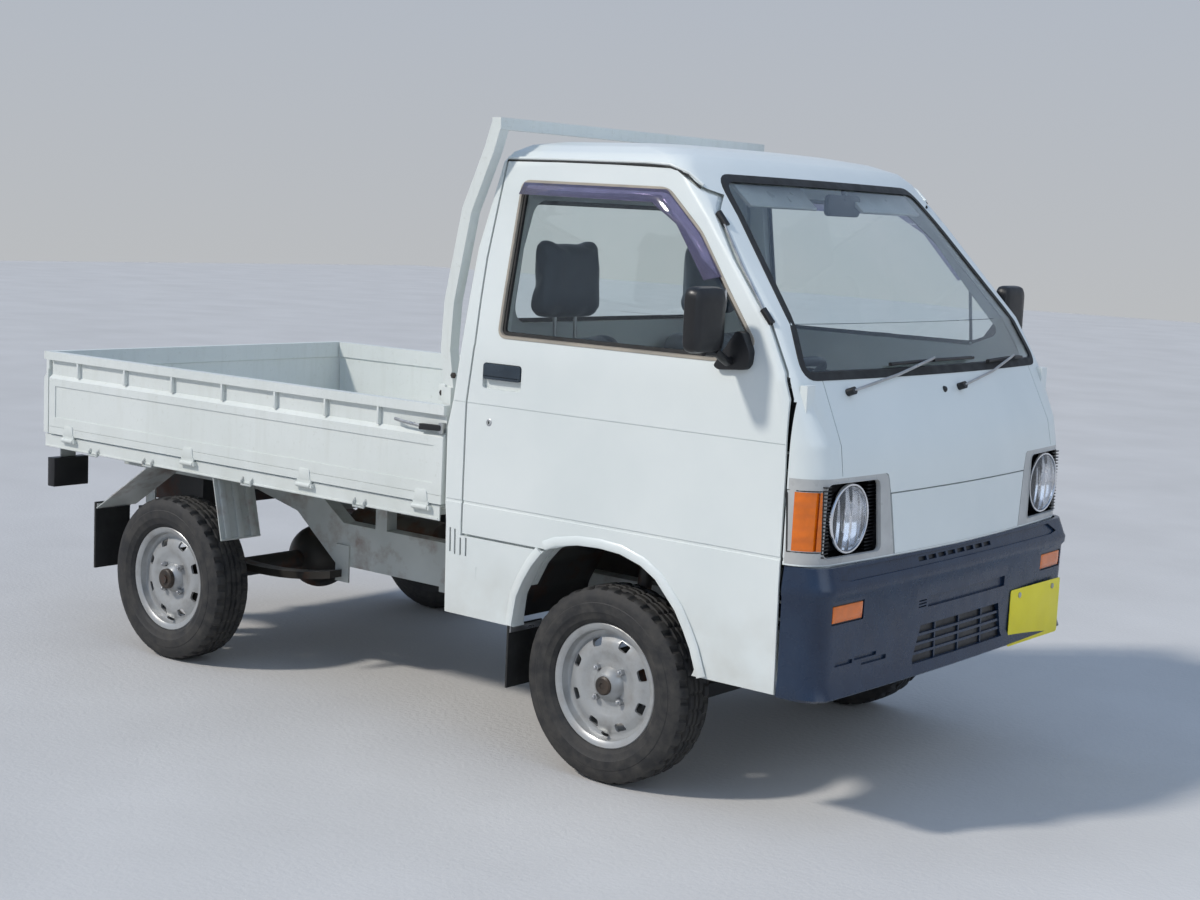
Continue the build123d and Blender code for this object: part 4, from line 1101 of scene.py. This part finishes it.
def sew(obj, lines, depth, width):
    """Presses sewn channels into a pad at values of y, in millimetres."""
    normals = [vertex.normal.copy() for vertex in obj.data.vertices]
    for vertex, normal in zip(obj.data.vertices, normals):
        place = vertex.co.y / MM
        push = sum(depth * math.exp(-(((place - line) / width) ** 2)) for line in lines)
        vertex.co -= normal * push * MM


pads = []
for name, outline, y, limit in PADS:
    for side in (1, -1):
        obj = start_pad(f"seat_{name}_{'right' if side > 0 else 'left'}", outline, y)
        if side < 0:
            obj.data.transform(Matrix.Scale(-1, 4, (0, 1, 0)))
            obj.data.flip_normals()
        pads.append((obj, limit))
inflate(pads)
for obj, _ in pads:
    modify(obj, "SMOOTH", factor=0.5, iterations=3)
    modify(obj, "SUBSURF", levels=1, render_levels=1)
    realise(obj)
    side = "right" if "right" in obj.name else "left"
    sign = -1 if side == "right" else 1
    if "headrest" in obj.name:
        sew(obj, [sign * 240], 2, 5)
    else:
        sew(obj, [sign * y for y in (210, 290, 420, 500)], 3.5, 6)
        sew(obj, [sign * 145], 2, 5)
    replaced = (f"seat_{side}",) if "cushion" in obj.name else ()
    finish_piece(obj, "seat_vinyl", "chassis", 60, replaced)
piece("seat_bases", both(box((500, 990), (-570, -140), (751, 774))), "chassis_black", edge=4)
stays = [tube([(462, y, 1150), (458, y, 1225)], 6, 10) for y in (-400, -310)]
piece("headrest_stays", both(merged(*stays)), SATIN)


# Floor, light and camera
PHOTO_WIDTH = 1200
FOCAL_PIXELS = 1847.2
SENSOR = 36
bpy.ops.mesh.primitive_plane_add(size=60, location=(0, 0, 0))
floor = bpy.context.object
floor.name = "floor"
ground = Mat("floor")
ground.color(ground.mix(ground.noise(1.2, detail=8), (0.5, 0.49, 0.475), (0.56, 0.55, 0.535)))
ground.bump(ground.noise(60, detail=8), 0.25, 0.004)
ground.set(Roughness=0.92)
floor.data.materials.append(ground.m)

world = bpy.data.worlds.new("world")
bpy.context.scene.world = world
world.use_nodes = True
sky = Tree(world.node_tree, "Background", "Generated")
rise = sky.add("SeparateXYZ", Vector=sky.coord).outputs["Z"]
rise = sky.spread(rise, From_Min=-0.05, From_Max=0.6)
sky.set(Color=sky.mix(rise, (0.8, 0.82, 0.84), (0.5, 0.68, 1)), Strength=0.62)


def light(name, kind, place, aim, energy, color):
    lamp = bpy.data.lights.new(name, kind)
    lamp.energy = energy
    lamp.color = color
    obj = new_object(name, lamp)
    obj.location = place
    obj.rotation_mode = "QUATERNION"
    obj.rotation_quaternion = (Vector(aim) - Vector(place)).to_track_quat("-Z", "Y")
    return lamp


light("sun", "SUN", (-3.6, -6, 6.5), (0, 0, 0), 2.5, (1, 0.95, 0.88)).angle = math.radians(5)
light("front_fill", "AREA", (5.5, -1, 3.5), (1.2, 0, 0.8), 60, (0.8, 0.89, 1)).size = 4

# The photograph's camera: turn about Z, tilt down, roll, in degrees
yaw, pitch, roll = (math.radians(a) for a in (38.605, 7.237, 2.636))
look = Vector((-math.sin(yaw) * math.cos(pitch), math.cos(yaw) * math.cos(pitch), -math.sin(pitch)))
right = Vector((math.cos(yaw), math.sin(yaw), 0))
up = right.cross(look)
camera_right = math.cos(roll) * right + math.sin(roll) * up
camera_up = -math.sin(roll) * right + math.cos(roll) * up
cam = bpy.data.cameras.new("camera")
cam.sensor_width = SENSOR
cam.lens = FOCAL_PIXELS / PHOTO_WIDTH * SENSOR
cam.clip_end = 200
camera = new_object("camera", cam)
turn_matrix = Matrix((camera_right, camera_up, -look)).transposed().to_4x4()
camera.matrix_world = Matrix.Translation((3.8584, -4.4251, 1.5052)) @ turn_matrix
bpy.context.scene.camera = camera
bpy.context.scene.view_settings.view_transform = "Standard"
